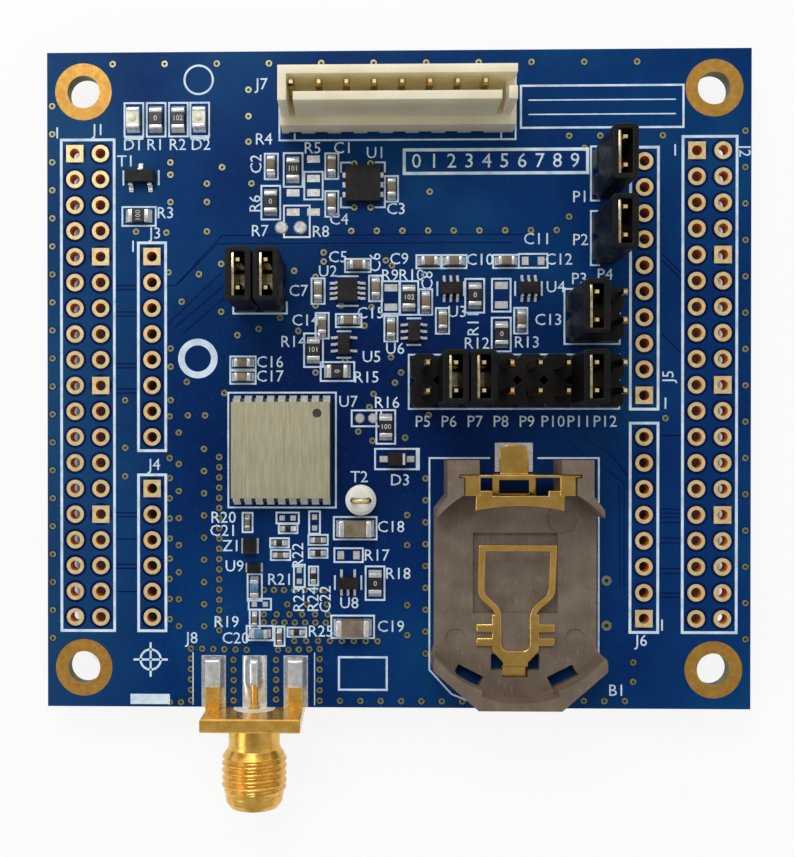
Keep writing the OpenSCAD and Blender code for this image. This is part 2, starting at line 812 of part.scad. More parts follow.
// Side contact: a strip in the posts' slots, a round-ended foot and a fork on the board, and a blade
// that hangs over the rim of the cell from a link at each post
module battery_side_contact() {
    strip_z = holder_floor_t + fit_gap;
    fork_y = strip_y - contact_t - fork_in;
    color([0.82, 0.66, 0.34])
        at_cell(top_z) {
            translate([-strip_half, strip_y - contact_t, strip_z])
                cube([2 * strip_half, contact_t, strip_top - strip_z]);
            translate([-foot_half, strip_y - contact_t, solder_t])
                cube([2 * foot_half, contact_t, strip_z + 1]);
            translate([0, strip_y - contact_t, solder_t])
                linear_extrude(contact_t)
                    round_ended_foot(foot_half, foot_out + contact_t, foot_round);
            translate([0, 0, solder_t])
                linear_extrude(contact_t)
                    difference() {
                        translate([-fork_half, fork_y])
                            square([2 * fork_half, strip_y - fork_y]);
                        translate([-fork_half + fork_w, fork_y + fork_bar])
                            square([2 * (fork_half - fork_w), fork_in - 2 * fork_bar]);
                    }
            for (s = [-1, 1])
                translate([s > 0 ? link_in : -link_out, blade_top - blade_ear_h, link_z])
                    cube([link_out - link_in, blade_in + blade_ear_h, contact_t]);
            translate([0, blade_top, link_z])
                rotate([blade_lean, 0, 0])
                    translate([0, -blade_l - blade_ear_h, 0])
                        linear_extrude(contact_t)
                            blade_plan();
        }
}

// A foot with two rounded corners at its far end
module round_ended_foot(half, l, r) {
    translate([-half, 0])
        square([2 * half, l - r]);
    translate([-half + r, 0])
        square([2 * (half - r), l]);
    for (s = [-1, 1])
        translate([s * (half - r), l - r])
            circle(r);
}

// The flat blade: a hollow lower edge for the cell's rim, and an ear at each end of its upper edge
module blade_plan() {
    sag = blade_arch_r - sqrt(blade_arch_r * blade_arch_r - blade_half * blade_half);
    difference() {
        translate([-blade_half, 0])
            square([2 * blade_half, blade_l]);
        translate([0, sag - blade_arch_r])
            circle(blade_arch_r, $fn = 96);
    }
    for (s = [-1, 1])
        translate([s > 0 ? blade_half - blade_ear_w : -blade_half, blade_l - eps])
            square([blade_ear_w, blade_ear_h]);
}

// Base contact: a stamped plate on the floor with fingers, two sprung arms that swing out and rise to
// a cross bar, and a tail that drops through the floor to its pad
module battery_base_contact() {
    plate_z = holder_floor_t;
    color([0.85, 0.7, 0.38])
        at_cell(top_z) {
            translate([0, 0, plate_z])
                linear_extrude(contact_t)
                    base_plate_plan();
            translate([0, arm_y, plate_z])
                rotate([arm_rise, 0, 0])
                    linear_extrude(contact_t) {
                        polygon(stroke(arm_line, arm_w));
                        mirror([1, 0, 0])
                            polygon(stroke(arm_line, arm_w));
                        translate([-arm_half - arm_w / 2, arm_l - eps])
                            square([2 * arm_half + arm_w, arm_w]);
                    }
            translate([-tail_half, tail_y, solder_t])
                cube([2 * tail_half, contact_t, plate_z - solder_t + eps]);
            translate([-tail_half, holder_bottom - tail_out, solder_t])
                cube([2 * tail_half, tail_y - holder_bottom + tail_out + contact_t, contact_t]);
        }
}

// Plan of the plate: two rails joined by a tapered web, each rail with two fingers
module base_plate_plan() {
    difference() {
        polygon([
            [-plate_half, arm_y + plate_lap], [-plate_half, web_y], [-tail_half, tail_y + web_step],
            [-tail_half, tail_y], [tail_half, tail_y], [tail_half, tail_y + web_step],
            [plate_half, web_y], [plate_half, arm_y + plate_lap]
        ]);
        translate([-slot_half, web_y + slot_half / 2])
            square([2 * slot_half, arm_y - web_y]);
        translate([0, web_y + slot_half / 2])
            slot_end();
    }
    for (y = finger_y)
        for (s = [-1, 1])
            translate([s > 0 ? plate_half - eps : -finger_half, y])
                square([finger_half - plate_half + eps, finger_w]);
}

// Rounded end of the slot between the rails: two corner circles and the bar between them
module slot_end() {
    r = slot_half / 2;
    for (s = [-1, 1])
        translate([s * (slot_half - r), 0])
            circle(r);
    translate([-slot_half + r, -r])
        square([2 * (slot_half - r), r + eps]);
}

module battery_holder_pads() {
    color([0.8, 0.8, 0.78])
        at_cell(top_z) {
            translate([-foot_pad_half, strip_y + pad_margin, 0])
                cube([2 * foot_pad_half, foot_out, solder_t]);
            translate([-tail_half, holder_bottom - tail_out, 0])
                cube([2 * tail_half, tail_out + pad_margin, solder_t]);
        }
}

// Ivory housing: notched base with a thin-walled shroud. The front wall stands free of both ends.
module wire_header_housing() {
    cavity_left = wire_shroud_left + wire_wall;
    cavity_right = wire_shroud_right - wire_wall;
    color([0.87, 0.83, 0.72])
        translate([0, 0, top_z])
            difference() {
                union() {
                    translate([wire_left, wire_front, 0])
                        cube([wire_right - wire_left, wire_back - wire_front, wire_base_h]);
                    translate([wire_shroud_left, wire_shroud_front, wire_base_h - eps])
                        cube([wire_shroud_right - wire_shroud_left, wire_shroud_back - wire_shroud_front,
                              wire_shroud_h - wire_base_h + eps]);
                }
                translate([cavity_left, wire_cavity_front, wire_base_h])
                    cube([cavity_right - cavity_left, wire_cavity_back - wire_cavity_front, wire_shroud_h]);
                for (x = [cavity_left, cavity_right - wire_slot_w])
                    translate([x, wire_shroud_front - 1, wire_base_h])
                        cube([wire_slot_w, 1 + wire_wall + eps, wire_shroud_h]);
                translate([cavity_right - eps, wire_cavity_back - wire_key_w, wire_shroud_h - wire_key_h])
                    cube([wire_wall + 1, wire_key_w, wire_shroud_h]);
                for (at = wire_places) {
                    translate([at[0] - wire_notch_w / 2, wire_front - 1, -1])
                        cube([wire_notch_w, wire_back - wire_front + 2, 1 + wire_notch_h]);
                    translate([at[0] - pin_w / 2, at[1] - pin_w / 2, -1])
                        cube([pin_w, pin_w, wire_base_h + 2]);
                }
            }
}

// Square pin with a chamfered point at both ends, standing on z = 0
module square_pin(l) {
    point = pin_w * 0.6;
    nib = pin_w * 0.25;
    section = [
        [-nib, 0], [nib, 0], [pin_w / 2, point], [pin_w / 2, l - point],
        [nib, l], [-nib, l], [-pin_w / 2, l - point], [-pin_w / 2, point]
    ];
    intersection() {
        rotate([90, 0, 0])
            linear_extrude(pin_w, center = true)
                polygon(section);
        rotate([90, 0, 90])
            linear_extrude(pin_w, center = true)
                polygon(section);
    }
}

module pins(places, rise) {
    for (at = places)
        translate([at[0], at[1], -pin_tail])
            square_pin(pin_tail + board_t + rise);
}

module wire_header_pins() {
    color([0.78, 0.66, 0.4])
        pins(wire_places, wire_shroud_h - wire_pin_drop);
}

// Moulded base: one chamfered cell for each pin, joined along their flats
module jumper_base(places) {
    corner = 0.45;
    side = pitch / 2;
    flat = side - corner;
    color([0.06, 0.06, 0.07])
        translate([0, 0, top_z])
            difference() {
                linear_extrude(jumper_base_h)
                    for (at = places)
                        translate(at)
                            polygon([
                                [-flat, -side], [flat, -side], [side, -flat], [side, flat],
                                [flat, side], [-flat, side], [-side, flat], [-side, -flat]
                            ]);
                for (at = places)
                    translate([at[0] - pin_w / 2, at[1] - pin_w / 2, -1])
                        cube([pin_w, pin_w, jumper_base_h + 2]);
            }
}

module header_pins(places) {
    color([0.8, 0.68, 0.38])
        pins(places, pin_rise);
}

module jumper_row_base() { jumper_base(row_pins); }
module jumper_row_pins() { header_pins(row_pins); }
module right_jumper_base() { jumper_base(right_pins); }
module right_jumper_pins() { header_pins(right_pins); }
module left_jumper_base() { jumper_base(left_pins); }
module left_jumper_pins() { header_pins(left_pins); }
module single_jumper_bases() {
    jumper_base(upper_pins);
    jumper_base(lower_pins);
}
module single_jumper_pins() {
    header_pins(upper_pins);
    header_pins(lower_pins);
}

// Push-on cap: an open-ended sleeve over one pair of pins, with chamfered upright edges
module jumper_caps() {
    corner = 0.3;
    x = cap_w / 2;
    y = cap_l / 2;
    color([0.05, 0.05, 0.06])
        for (at = cap_places)
            translate([at[0], at[1], cap_z])
                difference() {
                    linear_extrude(cap_h)
                        polygon([
                            [-x + corner, -y], [x - corner, -y], [x, -y + corner], [x, y - corner],
                            [x - corner, y], [-x + corner, y], [-x, y - corner], [-x, -y + corner]
                        ]);
                    translate([-cap_slot_w / 2, -y + cap_end_wall, -1])
                        cube([cap_slot_w, cap_l - 2 * cap_end_wall, cap_h + 2]);
                }
}

// Spring clip: a flat strip along one wall of the cap, with a turned lip across its middle
module jumper_cap_clips() {
    clip_l = cap_l - 2 * cap_end_wall;
    clip_up = 0.4;
    clip_down = 0.2;
    lip_gap = 0.2;
    lip = pitch - pin_w - 2 * lip_gap;
    color([0.8, 0.74, 0.6])
        for (at = cap_places)
            translate([at[0] - cap_slot_w / 2, at[1], cap_z + clip_up]) {
                translate([0, -clip_l / 2, 0])
                    cube([contact_t, clip_l, cap_h - clip_up - clip_down]);
                translate([0, -lip / 2, 0])
                    cube([cap_slot_w, lip, contact_t]);
            }
}

// Solder cone round each pin tail under the board
module pin_solder() {
    cone_max = 0.9;
    bare_tip = 0.2;
    cone_h = min(cone_max, pin_tail - bare_tip);
    color([0.75, 0.76, 0.78])
        for (at = concat(jumper_pins, wire_places))
            translate([at[0], at[1], -cone_h])
                difference() {
                    cylinder(r1 = pin_hole_d / 2, r2 = header_ring_d / 2, h = cone_h);
                    translate([0, 0, -pin_tail + cone_h])
                        square_pin(2 * pin_tail + board_t);
                }
}

// Solder under one end of a chip, with a fillet up the end cap
module end_solder(size) {
    fillet_h = 0.7 * size[2];
    x0 = size[0] / 2 - size[3];
    x1 = size[0] / 2 + solder_toe;
    translate([0, size[1] / 2, 0])
        rotate([90, 0, 0])
            linear_extrude(size[1])
                polygon([
                    [x0, 0], [x1, 0], [x1, solder_t], [size[0] / 2, solder_t + fillet_h],
                    [size[0] / 2, solder_t], [x0, solder_t]
                ]);
}

module solder_ends(places, size) {
    for (at = places)
        place(at, top_z)
            both_ends()
                end_solder(size);
}

module lead_pads(at, lead_x, lead_w, span) {
    place(at, top_z)
        for (x = lead_x)
            translate([x - lead_w / 2, span / 2 - foot_l, 0])
                cube([lead_w, foot_l + lead_toe, solder_t]);
}

function lead_row(n, step) = [for (i = [0 : n - 1]) (i - (n - 1) / 2) * step];
function turned(at) = [at[0], at[1], at[2] + 180];
six_row = lead_row(3, small_lead_pitch);
pair_row = lead_row(2, 2 * small_lead_pitch);
eight_row = lead_row(4, eight_lead_pitch);
transistor_row = lead_row(2, 2 * transistor_lead_pitch);
sensor_row = lead_row(3, sensor_pad_pitch);

module chip_solder() {
    color([0.78, 0.79, 0.8]) {
        solder_ends(resistor_places, size_0805);
        solder_ends(concat(small_resistor_places, small_capacitor_places), size_0402);
        solder_ends(concat(capacitor_places, inductor_places), size_0603);
        solder_ends(large_capacitor_places, size_1206);
        solder_ends(led_places, size_led);
        for (at = concat(six_lead_places, five_lead_places)) {
            lead_pads(turned(at), six_row, small_lead_w, small_span);
        }
        for (at = six_lead_places)
            lead_pads(at, six_row, small_lead_w, small_span);
        for (at = five_lead_places)
            lead_pads(at, pair_row, small_lead_w, small_span);
        for (at = [eight_at, turned(eight_at)])
            lead_pads(at, eight_row, small_lead_w, eight_span);
        lead_pads(transistor_at, [0], transistor_lead_w, transistor_span);
        lead_pads(turned(transistor_at), transistor_row, transistor_lead_w, transistor_span);
        for (at = [diode_at, turned(diode_at)])
            lead_pads(at, [0], diode_lead_w, diode_span);
        for (s = [-1, 1])
            for (y = sensor_row)
                translate([sensor_at[0] + s * sensor_body[0] / 2 - sensor_pad[0] / 2,
                           sensor_at[1] + y - sensor_pad[1] / 2, top_z])
                    cube([sensor_pad[0], sensor_pad[1], solder_t]);
        for (pad = [[filter_at, filter_body], [amplifier_at, amplifier_body]])
            for (s = [-1, 1])
                translate([pad[0][0] + s * pad[1][0] / 2 - flat_pad_w / 2, pad[0][1] - pad[1][1] / 2, top_z])
                    cube([flat_pad_w, pad[1][1], solder_t]);
    }
}

// Chip body between its end caps
module chip_core(size) {
    l = size[0] - 2 * size[3];
    translate([-l / 2, -size[1] / 2, 0])
        cube([l, size[1], size[2]]);
}

module chip_end(size) {
    translate([size[0] / 2 - size[3], -size[1] / 2, 0])
        cube([size[3], size[1], size[2]]);
}

module chip_cores(places, size) {
    for (at = places)
        place(at, chip_z)
            chip_core(size);
}

module chip_ends(places, size) {
    for (at = places)
        place(at, chip_z)
            both_ends()
                chip_end(size);
}

module resistor_bodies() {
    color([0.1, 0.1, 0.1]) {
        chip_cores(resistor_places, size_0805);
        chip_cores(small_resistor_places, size_0402);
    }
}

module resistor_ends() {
    color([0.8, 0.8, 0.8]) {
        chip_ends(resistor_places, size_0805);
        chip_ends(small_resistor_places, size_0402);
    }
}

module capacitor_bodies() {
    color([0.6, 0.48, 0.38]) {
        chip_cores(capacitor_places, size_0603);
        chip_cores(small_capacitor_places, size_0402);
    }
}

module capacitor_ends() {
    color([0.82, 0.82, 0.82]) {
        chip_ends(capacitor_places, size_0603);
        chip_ends(small_capacitor_places, size_0402);
    }
}

module large_capacitor_bodies() { color([0.6, 0.47, 0.36]) chip_cores(large_capacitor_places, size_1206); }
module large_capacitor_ends() { color([0.82, 0.82, 0.82]) chip_ends(large_capacitor_places, size_1206); }

// Status light: a clear block with a round lens on top
module light_bodies() {
    lens_r = 0.45;
    color([0.85, 0.9, 0.8])
        for (at = led_places)
            place(at, chip_z) {
                chip_core(size_led);
                translate([0, 0, size_led[2]])
                    intersection() {
                        translate([0, 0, -lens_r / 2])
                            sphere(r = lens_r, $fn = 24);
                        translate([-1, -1, -eps])
                            cube([2, 2, 1]);
                    }
            }
}

module light_ends() { color([0.85, 0.75, 0.5]) chip_ends(led_places, size_led); }
module inductor_bodies() { color([0.35, 0.5, 0.65]) chip_cores(inductor_places, size_0603); }
module inductor_ends() { color([0.82, 0.82, 0.82]) chip_ends(inductor_places, size_0603); }

// Moulded package with drafted sides above and below its parting line
module package(size) {
    draft = 0.08;
    module side(w) {
        polygon([
            [-w / 2 + draft, 0], [w / 2 - draft, 0], [w / 2, size[2] / 2], [w / 2 - draft, size[2]],
            [-w / 2 + draft, size[2]], [-w / 2, size[2] / 2]
        ]);
    }
    translate([0, 0, stand_off])
        intersection() {
            rotate([90, 0, 0])
                linear_extrude(size[1], center = true)
                    side(size[0]);
            rotate([90, 0, 90])
                linear_extrude(size[0], center = true)
                    side(size[1]);
        }
}

// Gull-wing leads on the +Y side: out of the parting line, down, and a flat foot
module leads(size, lead_x, lead_w, span) {
    y0 = size[1] / 2;
    y1 = span / 2;
    knee = y0 + knee_out;
    mid = stand_off + size[2] / 2;
    for (x = lead_x)
        translate([x - lead_w / 2, 0, 0])
            rotate([90, 0, 90])
                linear_extrude(lead_w)
                    polygon([
                        [y0, mid - lead_t / 2], [knee - lead_t, mid - lead_t / 2], [knee - lead_t, 0],
                        [y1, 0], [y1, lead_t], [knee, lead_t], [knee, mid + lead_t / 2],
                        [y0 - root_in, mid + lead_t / 2], [y0 - root_in, mid]
                    ]);
}

// A package with the leads' own roots cut out of it
module package_without_leads(at, size, near, far, lead_w, span) {
    difference() {
        place(at, chip_z)
            package(size);
        place(at, chip_z)
            leads(size, near, lead_w, span);
        place(turned(at), chip_z)
            leads(size, far, lead_w, span);
    }
}

module lead_set(at, size, near, far, lead_w, span) {
    place(at, chip_z)
        leads(size, near, lead_w, span);
    place(turned(at), chip_z)
        leads(size, far, lead_w, span);
}

module transistor_body_block() {
    color([0.12, 0.12, 0.12])
        package_without_leads(transistor_at, transistor_body, [0], transistor_row, transistor_lead_w,
                              transistor_span);
}

module transistor_leads() {
    color([0.8, 0.8, 0.8])
        lead_set(transistor_at, transistor_body, [0], transistor_row, transistor_lead_w, transistor_span);
}

module diode_body_block() {
    turned_body = [diode_body[1], diode_body[0], diode_body[2]];
    color([0.12, 0.12, 0.12])
        package_without_leads(diode_at, turned_body, [0], [0], diode_lead_w, diode_span);
}

module diode_leads() {
    turned_body = [diode_body[1], diode_body[0], diode_body[2]];
    color([0.8, 0.8, 0.8])
        lead_set(diode_at, turned_body, [0], [0], diode_lead_w, diode_span);
}

module eight_lead_chip() {
    color([0.12, 0.12, 0.12])
        package_without_leads(eight_at, eight_body, eight_row, eight_row, small_lead_w, eight_span);
}

module eight_lead_chip_leads() {
    color([0.8, 0.8, 0.8])
        lead_set(eight_at, eight_body, eight_row, eight_row, small_lead_w, eight_span);
}

module small_chips() {
    color([0.12, 0.12, 0.12]) {
        for (at = six_lead_places)
            package_without_leads(at, small_body, six_row, six_row, small_lead_w, small_span);
        for (at = five_lead_places)
            package_without_leads(at, small_body, pair_row, six_row, small_lead_w, small_span);
    }
}

module small_chip_leads() {
    color([0.8, 0.8, 0.8]) {
        for (at = six_lead_places)
            lead_set(at, small_body, six_row, six_row, small_lead_w, small_span);
        for (at = five_lead_places)
            lead_set(at, small_body, pair_row, six_row, small_lead_w, small_span);
    }
}

module flat_package(at, size) {
    translate([at[0] - size[0] / 2, at[1] - size[1] / 2, chip_z])
        cube(size);
}

module sensor_package() { color([0.13, 0.12, 0.13]) flat_package(sensor_at, sensor_body); }
module antenna_filter() { color([0.2, 0.2, 0.24]) flat_package(filter_at, filter_body); }
module antenna_amplifier() { color([0.1, 0.1, 0.1]) flat_package(amplifier_at, amplifier_body); }

module loop_legs(d, z, h) {
    for (s = [-1, 1])
        translate([test_at[0] + s * loop_r, test_at[1], z])
            cylinder(d = d, h = h, $fn = 24);
}

// Glass bead with a rounded rim and two wire holes
module test_point_bead() {
    rim = 0.35;
    color([0.93, 0.92, 0.88])
        difference() {
            translate([test_at[0], test_at[1], top_z])
                rotate_extrude()
                    polygon([
                        [0, 0], [bead_r - rim, 0], [bead_r, rim], [bead_r, bead_h - rim],
                        [bead_r - rim, bead_h], [0, bead_h]
                    ]);
            loop_legs(2 * loop_wire_r + 2 * fit_gap, top_z - 1, bead_h + 2);
        }
}

module test_point_loop() {
    bend_z = top_z + bead_h + loop_leg;
    color([0.8, 0.62, 0.3]) {
        loop_legs(2 * loop_wire_r, top_z, bead_h + loop_leg);
        translate([test_at[0], test_at[1], bend_z])
            rotate([90, 0, 0])
                rotate_extrude(angle = 180)
                    translate([loop_r, 0])
                        circle(r = loop_wire_r, $fn = 24);
    }
}

circuit_board();
mounting_hole_lands();
left_outer_header_holes();
right_outer_header_holes();
left_upper_header_holes();
left_lower_header_holes();
right_upper_header_holes();
right_lower_header_holes();
bare_solder_pads();
antenna_jack_pads();
antenna_jack_body();
antenna_jack_insulator();
antenna_jack_contact();
antenna_jack_solder();
module_board();
module_terminals();
module_shield();
module_receiver_chip();
module_crystal();
battery_holder_body();
battery_side_contact();
battery_base_contact();
battery_holder_pads();
wire_header_housing();
wire_header_pins();
jumper_row_base();
jumper_row_pins();
right_jumper_base();
right_jumper_pins();
left_jumper_base();
left_jumper_pins();
single_jumper_bases();
single_jumper_pins();
jumper_caps();
jumper_cap_clips();
pin_solder();
chip_solder();
resistor_bodies();
resistor_ends();
capacitor_bodies();
capacitor_ends();
large_capacitor_bodies();
large_capacitor_ends();
light_bodies();
light_ends();
inductor_bodies();
inductor_ends();
transistor_body_block();
transistor_leads();
diode_body_block();
diode_leads();
eight_lead_chip();
eight_lead_chip_leads();
small_chips();
small_chip_leads();
sensor_package();
antenna_filter();
antenna_amplifier();
test_point_bead();
test_point_loop();
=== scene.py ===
"""Looks of a satellite receiver board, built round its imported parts: finishes, legend print, vias,
tracks, the antenna jack's screw thread and its solder. Sizes are in millimetres."""
import json
import math

import bmesh
import bpy
from mathutils import Matrix, Vector


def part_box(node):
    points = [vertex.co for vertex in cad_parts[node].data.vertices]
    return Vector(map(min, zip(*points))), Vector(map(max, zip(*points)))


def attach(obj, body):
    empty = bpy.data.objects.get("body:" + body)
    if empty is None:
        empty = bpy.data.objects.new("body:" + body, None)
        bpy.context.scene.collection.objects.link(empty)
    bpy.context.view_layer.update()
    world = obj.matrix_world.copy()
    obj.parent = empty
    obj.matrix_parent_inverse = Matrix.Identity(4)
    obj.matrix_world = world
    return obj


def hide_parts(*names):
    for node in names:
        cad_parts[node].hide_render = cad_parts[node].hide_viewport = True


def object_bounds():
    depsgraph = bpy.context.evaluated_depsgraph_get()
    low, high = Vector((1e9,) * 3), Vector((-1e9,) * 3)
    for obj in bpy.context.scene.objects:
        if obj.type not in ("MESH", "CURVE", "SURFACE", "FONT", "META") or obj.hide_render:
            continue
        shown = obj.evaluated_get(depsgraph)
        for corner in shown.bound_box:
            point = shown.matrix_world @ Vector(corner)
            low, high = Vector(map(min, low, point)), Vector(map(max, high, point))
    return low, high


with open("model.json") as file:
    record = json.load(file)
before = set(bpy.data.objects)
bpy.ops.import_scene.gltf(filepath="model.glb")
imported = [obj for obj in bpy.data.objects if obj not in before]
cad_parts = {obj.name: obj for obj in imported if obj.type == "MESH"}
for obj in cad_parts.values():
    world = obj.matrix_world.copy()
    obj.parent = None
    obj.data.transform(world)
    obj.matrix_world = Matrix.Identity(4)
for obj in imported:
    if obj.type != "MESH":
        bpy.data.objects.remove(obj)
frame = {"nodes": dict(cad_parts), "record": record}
cad_low, cad_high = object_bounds()

MM = 0.001
NODES = frame["nodes"]


# Reading the frame

def box_round(points):
    """Lowest and highest corner of the box round some points."""
    return Vector(map(min, *points)), Vector(map(max, *points))


def box_of(*nodes):
    """Lowest and highest corner of some nodes together."""
    low, high = box_round([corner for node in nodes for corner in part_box(node)])
    return low / MM, high / MM


def solids_of(*nodes):
    """Boxes of the separate solids in some nodes. Solids that share corners count as one."""
    parent = []
    corner_number = {}
    places = []

    def root(i):
        while parent[i] != i:
            parent[i] = parent[parent[i]]
            i = parent[i]
        return i

    for node in nodes:
        mesh = NODES[node].data
        numbers = []
        for vertex in mesh.vertices:
            place = tuple(round(c / MM, 3) for c in vertex.co)
            if place not in corner_number:
                corner_number[place] = len(parent)
                parent.append(len(parent))
                places.append(place)
            numbers.append(corner_number[place])
        for edge in mesh.edges:
            parent[root(numbers[edge.vertices[0]])] = root(numbers[edge.vertices[1]])
    groups = {}
    for i, place in enumerate(places):
        groups.setdefault(root(i), []).append(place)
    boxes = [box_round(group) for group in groups.values()]
    return sorted(boxes, key=lambda box: (round(box[0].y, 2), round(box[0].x, 2)))


def show(name, data):
    """Puts a new object into the scene."""
    made = bpy.data.objects.new(name, data)
    bpy.context.scene.collection.objects.link(made)
    return made


BOARD_LOW, BOARD_HIGH = box_of("circuit_board")
BOARD_TOP = BOARD_HIGH.z


# Finishes

# Most of a noise field's values lie between these two
NOISE_LOW, NOISE_HIGH = 0.3, 0.7
# A face whose normal rises by less than this is upright
LEVEL_RISE = 0.5


def srgb(red, green, blue):
    """The linear colour that a shader takes for a screen colour, whose parts go from 0 to 255."""
    def linear(part):
        part /= 255
        return part / 12.92 if part <= 0.04045 else ((part + 0.055) / 1.055) ** 2.4
    return linear(red), linear(green), linear(blue), 1.0


def set_stops(ramp, stops):
    """Gives a colour ramp its stops, each a place from 0 to 1 and a colour."""
    elements = ramp.color_ramp.elements
    while len(elements) < len(stops):
        elements.new(0.5)
    for element, (at, colour) in zip(elements, stops):
        element.position = at
        element.color = colour


def spread(tree, value, start, end, low=0.0, high=1.0, kind="LINEAR"):
    """A value that goes from low to high while another goes from start to end."""
    node = tree.nodes.new("ShaderNodeMapRange")
    node.interpolation_type = kind
    for name, number in (("From Min", start), ("From Max", end), ("To Min", low), ("To Max", high)):
        node.inputs[name].default_value = number
    tree.links.new(value, node.inputs["Value"])
    return node.outputs["Result"]


class Finish:
    """A node material that starts plain and gains mottling, grain and wear."""

    def __init__(self, name, metallic=0.0, roughness=0.5, sockets=None):
        self.material = bpy.data.materials.new(name)
        self.material.use_nodes = True
        self.tree = self.material.node_tree
        self.nodes = self.tree.nodes
        self.link = self.tree.links.new
        self.shader = self.nodes["Principled BSDF"]
        self.shader.inputs["Metallic"].default_value = metallic
        self.shader.inputs["Roughness"].default_value = roughness
        for socket, value in (sockets or {}).items():
            self.shader.inputs[socket].default_value = value
        self.normal = None
        self.colour = None

    def mapped(self, kind, location, scale):
        """Object coordinates, moved and scaled."""
        where = self.nodes.new("ShaderNodeTexCoord")
        mapping = self.nodes.new("ShaderNodeMapping")
        mapping.vector_type = kind
        mapping.inputs["Location"].default_value = location
        mapping.inputs["Scale"].default_value = scale
        self.link(where.outputs["Object"], mapping.inputs["Vector"])
        return mapping.outputs["Vector"]

    def noise(self, size, detail=3.0, stretch=(1, 1, 1)):
        """A cloudy field, with one unit for each size millimetres, drawn out by stretch."""
        made = self.nodes.new("ShaderNodeTexNoise")
        made.inputs["Scale"].default_value = 1.0
        made.inputs["Detail"].default_value = detail
        scale = [1 / (MM * size * s) for s in stretch]
        self.link(self.mapped("POINT", (0, 0, 0), scale), made.inputs["Vector"])
        return made.outputs["Fac"]

    def zone(self, middle, reach):
        """1 in the middle of a wide oval on the board, falling to 0 at its rim."""
        made = self.nodes.new("ShaderNodeTexGradient")
        made.gradient_type = "SPHERICAL"
        place = self.mapped("TEXTURE", (middle[0] * MM, middle[1] * MM, 0),
                            (reach[0] * MM, reach[1] * MM, 1))
        self.link(place, made.inputs["Vector"])
        return made.outputs["Fac"]

    def paint(self, field, stops):
        """Base colour spread over a field: stops of a place from 0 to 1 and a screen colour."""
        ramp = self.nodes.new("ShaderNodeValToRGB")
        set_stops(ramp, [(at, srgb(*colour)) for at, colour in stops])
        self.link(field, ramp.inputs["Fac"])
        self.colour = ramp.outputs["Color"]
        self.link(self.colour, self.shader.inputs["Base Color"])

    def overlay(self, field, low, high, colour):
        """Mixes a screen colour over the paint, from none where the field is low to all where high."""
        mix = self.nodes.new("ShaderNodeMix")
        mix.data_type = "RGBA"
        colour_a, colour_b = [s for s in mix.inputs if s.type == "RGBA"]
        colour_b.default_value = srgb(*colour)
        self.link(spread(self.tree, field, low, high), mix.inputs["Factor"])
        self.link(self.colour, colour_a)
        self.colour = next(s for s in mix.outputs if s.type == "RGBA")
        self.link(self.colour, self.shader.inputs["Base Color"])

    def gloss(self, field, low, high):
        """Roughness from low to high over a field."""
        rough = spread(self.tree, field, NOISE_LOW, NOISE_HIGH, low, high)
        self.link(rough, self.shader.inputs["Roughness"])

    def round_edges(self, radius):
        """Shades the sharp edges as if they were round. Comes before any relief."""
        bevel = self.nodes.new("ShaderNodeBevel")
        bevel.samples = 8
        bevel.inputs["Radius"].default_value = radius * MM
        self.normal = bevel.outputs["Normal"]

    def relief(self, field, depth):
        """Surface relief of about depth millimetres."""
        bump = self.nodes.new("ShaderNodeBump")
        bump.inputs["Strength"].default_value = 1.0
        bump.inputs["Distance"].default_value = depth * MM
        self.link(field, bump.inputs["Height"])
        if self.normal:
            self.link(self.normal, bump.inputs["Normal"])
        self.normal = bump.outputs["Normal"]
        self.link(self.normal, self.shader.inputs["Normal"])


def solder_mask(name, deep, plain, bright, zones=()):
    """Coloured mask over copper and laminate. Zones are wide ovals: middle, reach, depth and colour."""
    made = Finish(name, sockets={"Specular IOR Level": 0.05})
    made.paint(made.noise(14.0, 3), [(0.32, deep), (0.52, plain), (0.7, bright)])
    # The zones paint wide ovals darker and lighter: partly copper tone, partly painted reflection
    for middle, reach, depth, colour in zones:
        made.overlay(made.zone(middle, reach), 0, depth, colour)
    made.overlay(made.noise(0.35, 2), 0.6, 1.0, bright)
    made.overlay(made.noise(0.22, 2), 0.66, 1.05, deep)
    made.gloss(made.noise(1.4), 0.26, 0.42)
    made.relief(made.noise(0.5), 0.004)
    return made.material


def metal(name, dark, plain, pale, low, high, grain=0.9, stretch=(1, 1, 1), depth=0.004, metallic=0.9,
          edge=0):
    """Plated or tinned metal: tone, roughness from low to high, and relief all vary with its grain."""
    made = Finish(name, metallic=metallic)
    if edge:
        made.round_edges(edge)
    made.paint(made.noise(grain, 4, stretch), [(0.28, dark), (0.5, plain), (0.74, pale)])
    made.gloss(made.noise(grain * 0.6, 3, stretch), low, high)
    made.relief(made.noise(grain * 0.5, 3, stretch), depth)
    return made.material


def moulded(name, dark, plain, pale, low, high, grain=0.5, depth=0.006, sockets=None):
    """Moulded plastic or ceramic: slight mottling and a fine skin, in roughness from low to high."""
    made = Finish(name, sockets=sockets)
    made.paint(made.noise(grain * 4, 4), [(0.3, dark), (0.5, plain), (0.72, pale)])
    made.overlay(made.noise(grain * 0.25, 2), 0.62, 0.95, pale)
    made.gloss(made.noise(grain), low, high)
    made.relief(made.noise(grain * 0.3, 3), depth)
    return made.material


def laminate_finish():
    """Cut glass cloth in resin, in thin layers."""
    made = Finish("laminate_edge", roughness=0.62)
    made.paint(made.noise(0.5, 4, (3, 3, 0.25)), [
        (0.3, (70, 78, 62)), (0.5, (120, 122, 92)), (0.7, (158, 152, 118))])
    made.relief(made.noise(0.2, 2, (2, 2, 0.4)), 0.02)
    return made.material


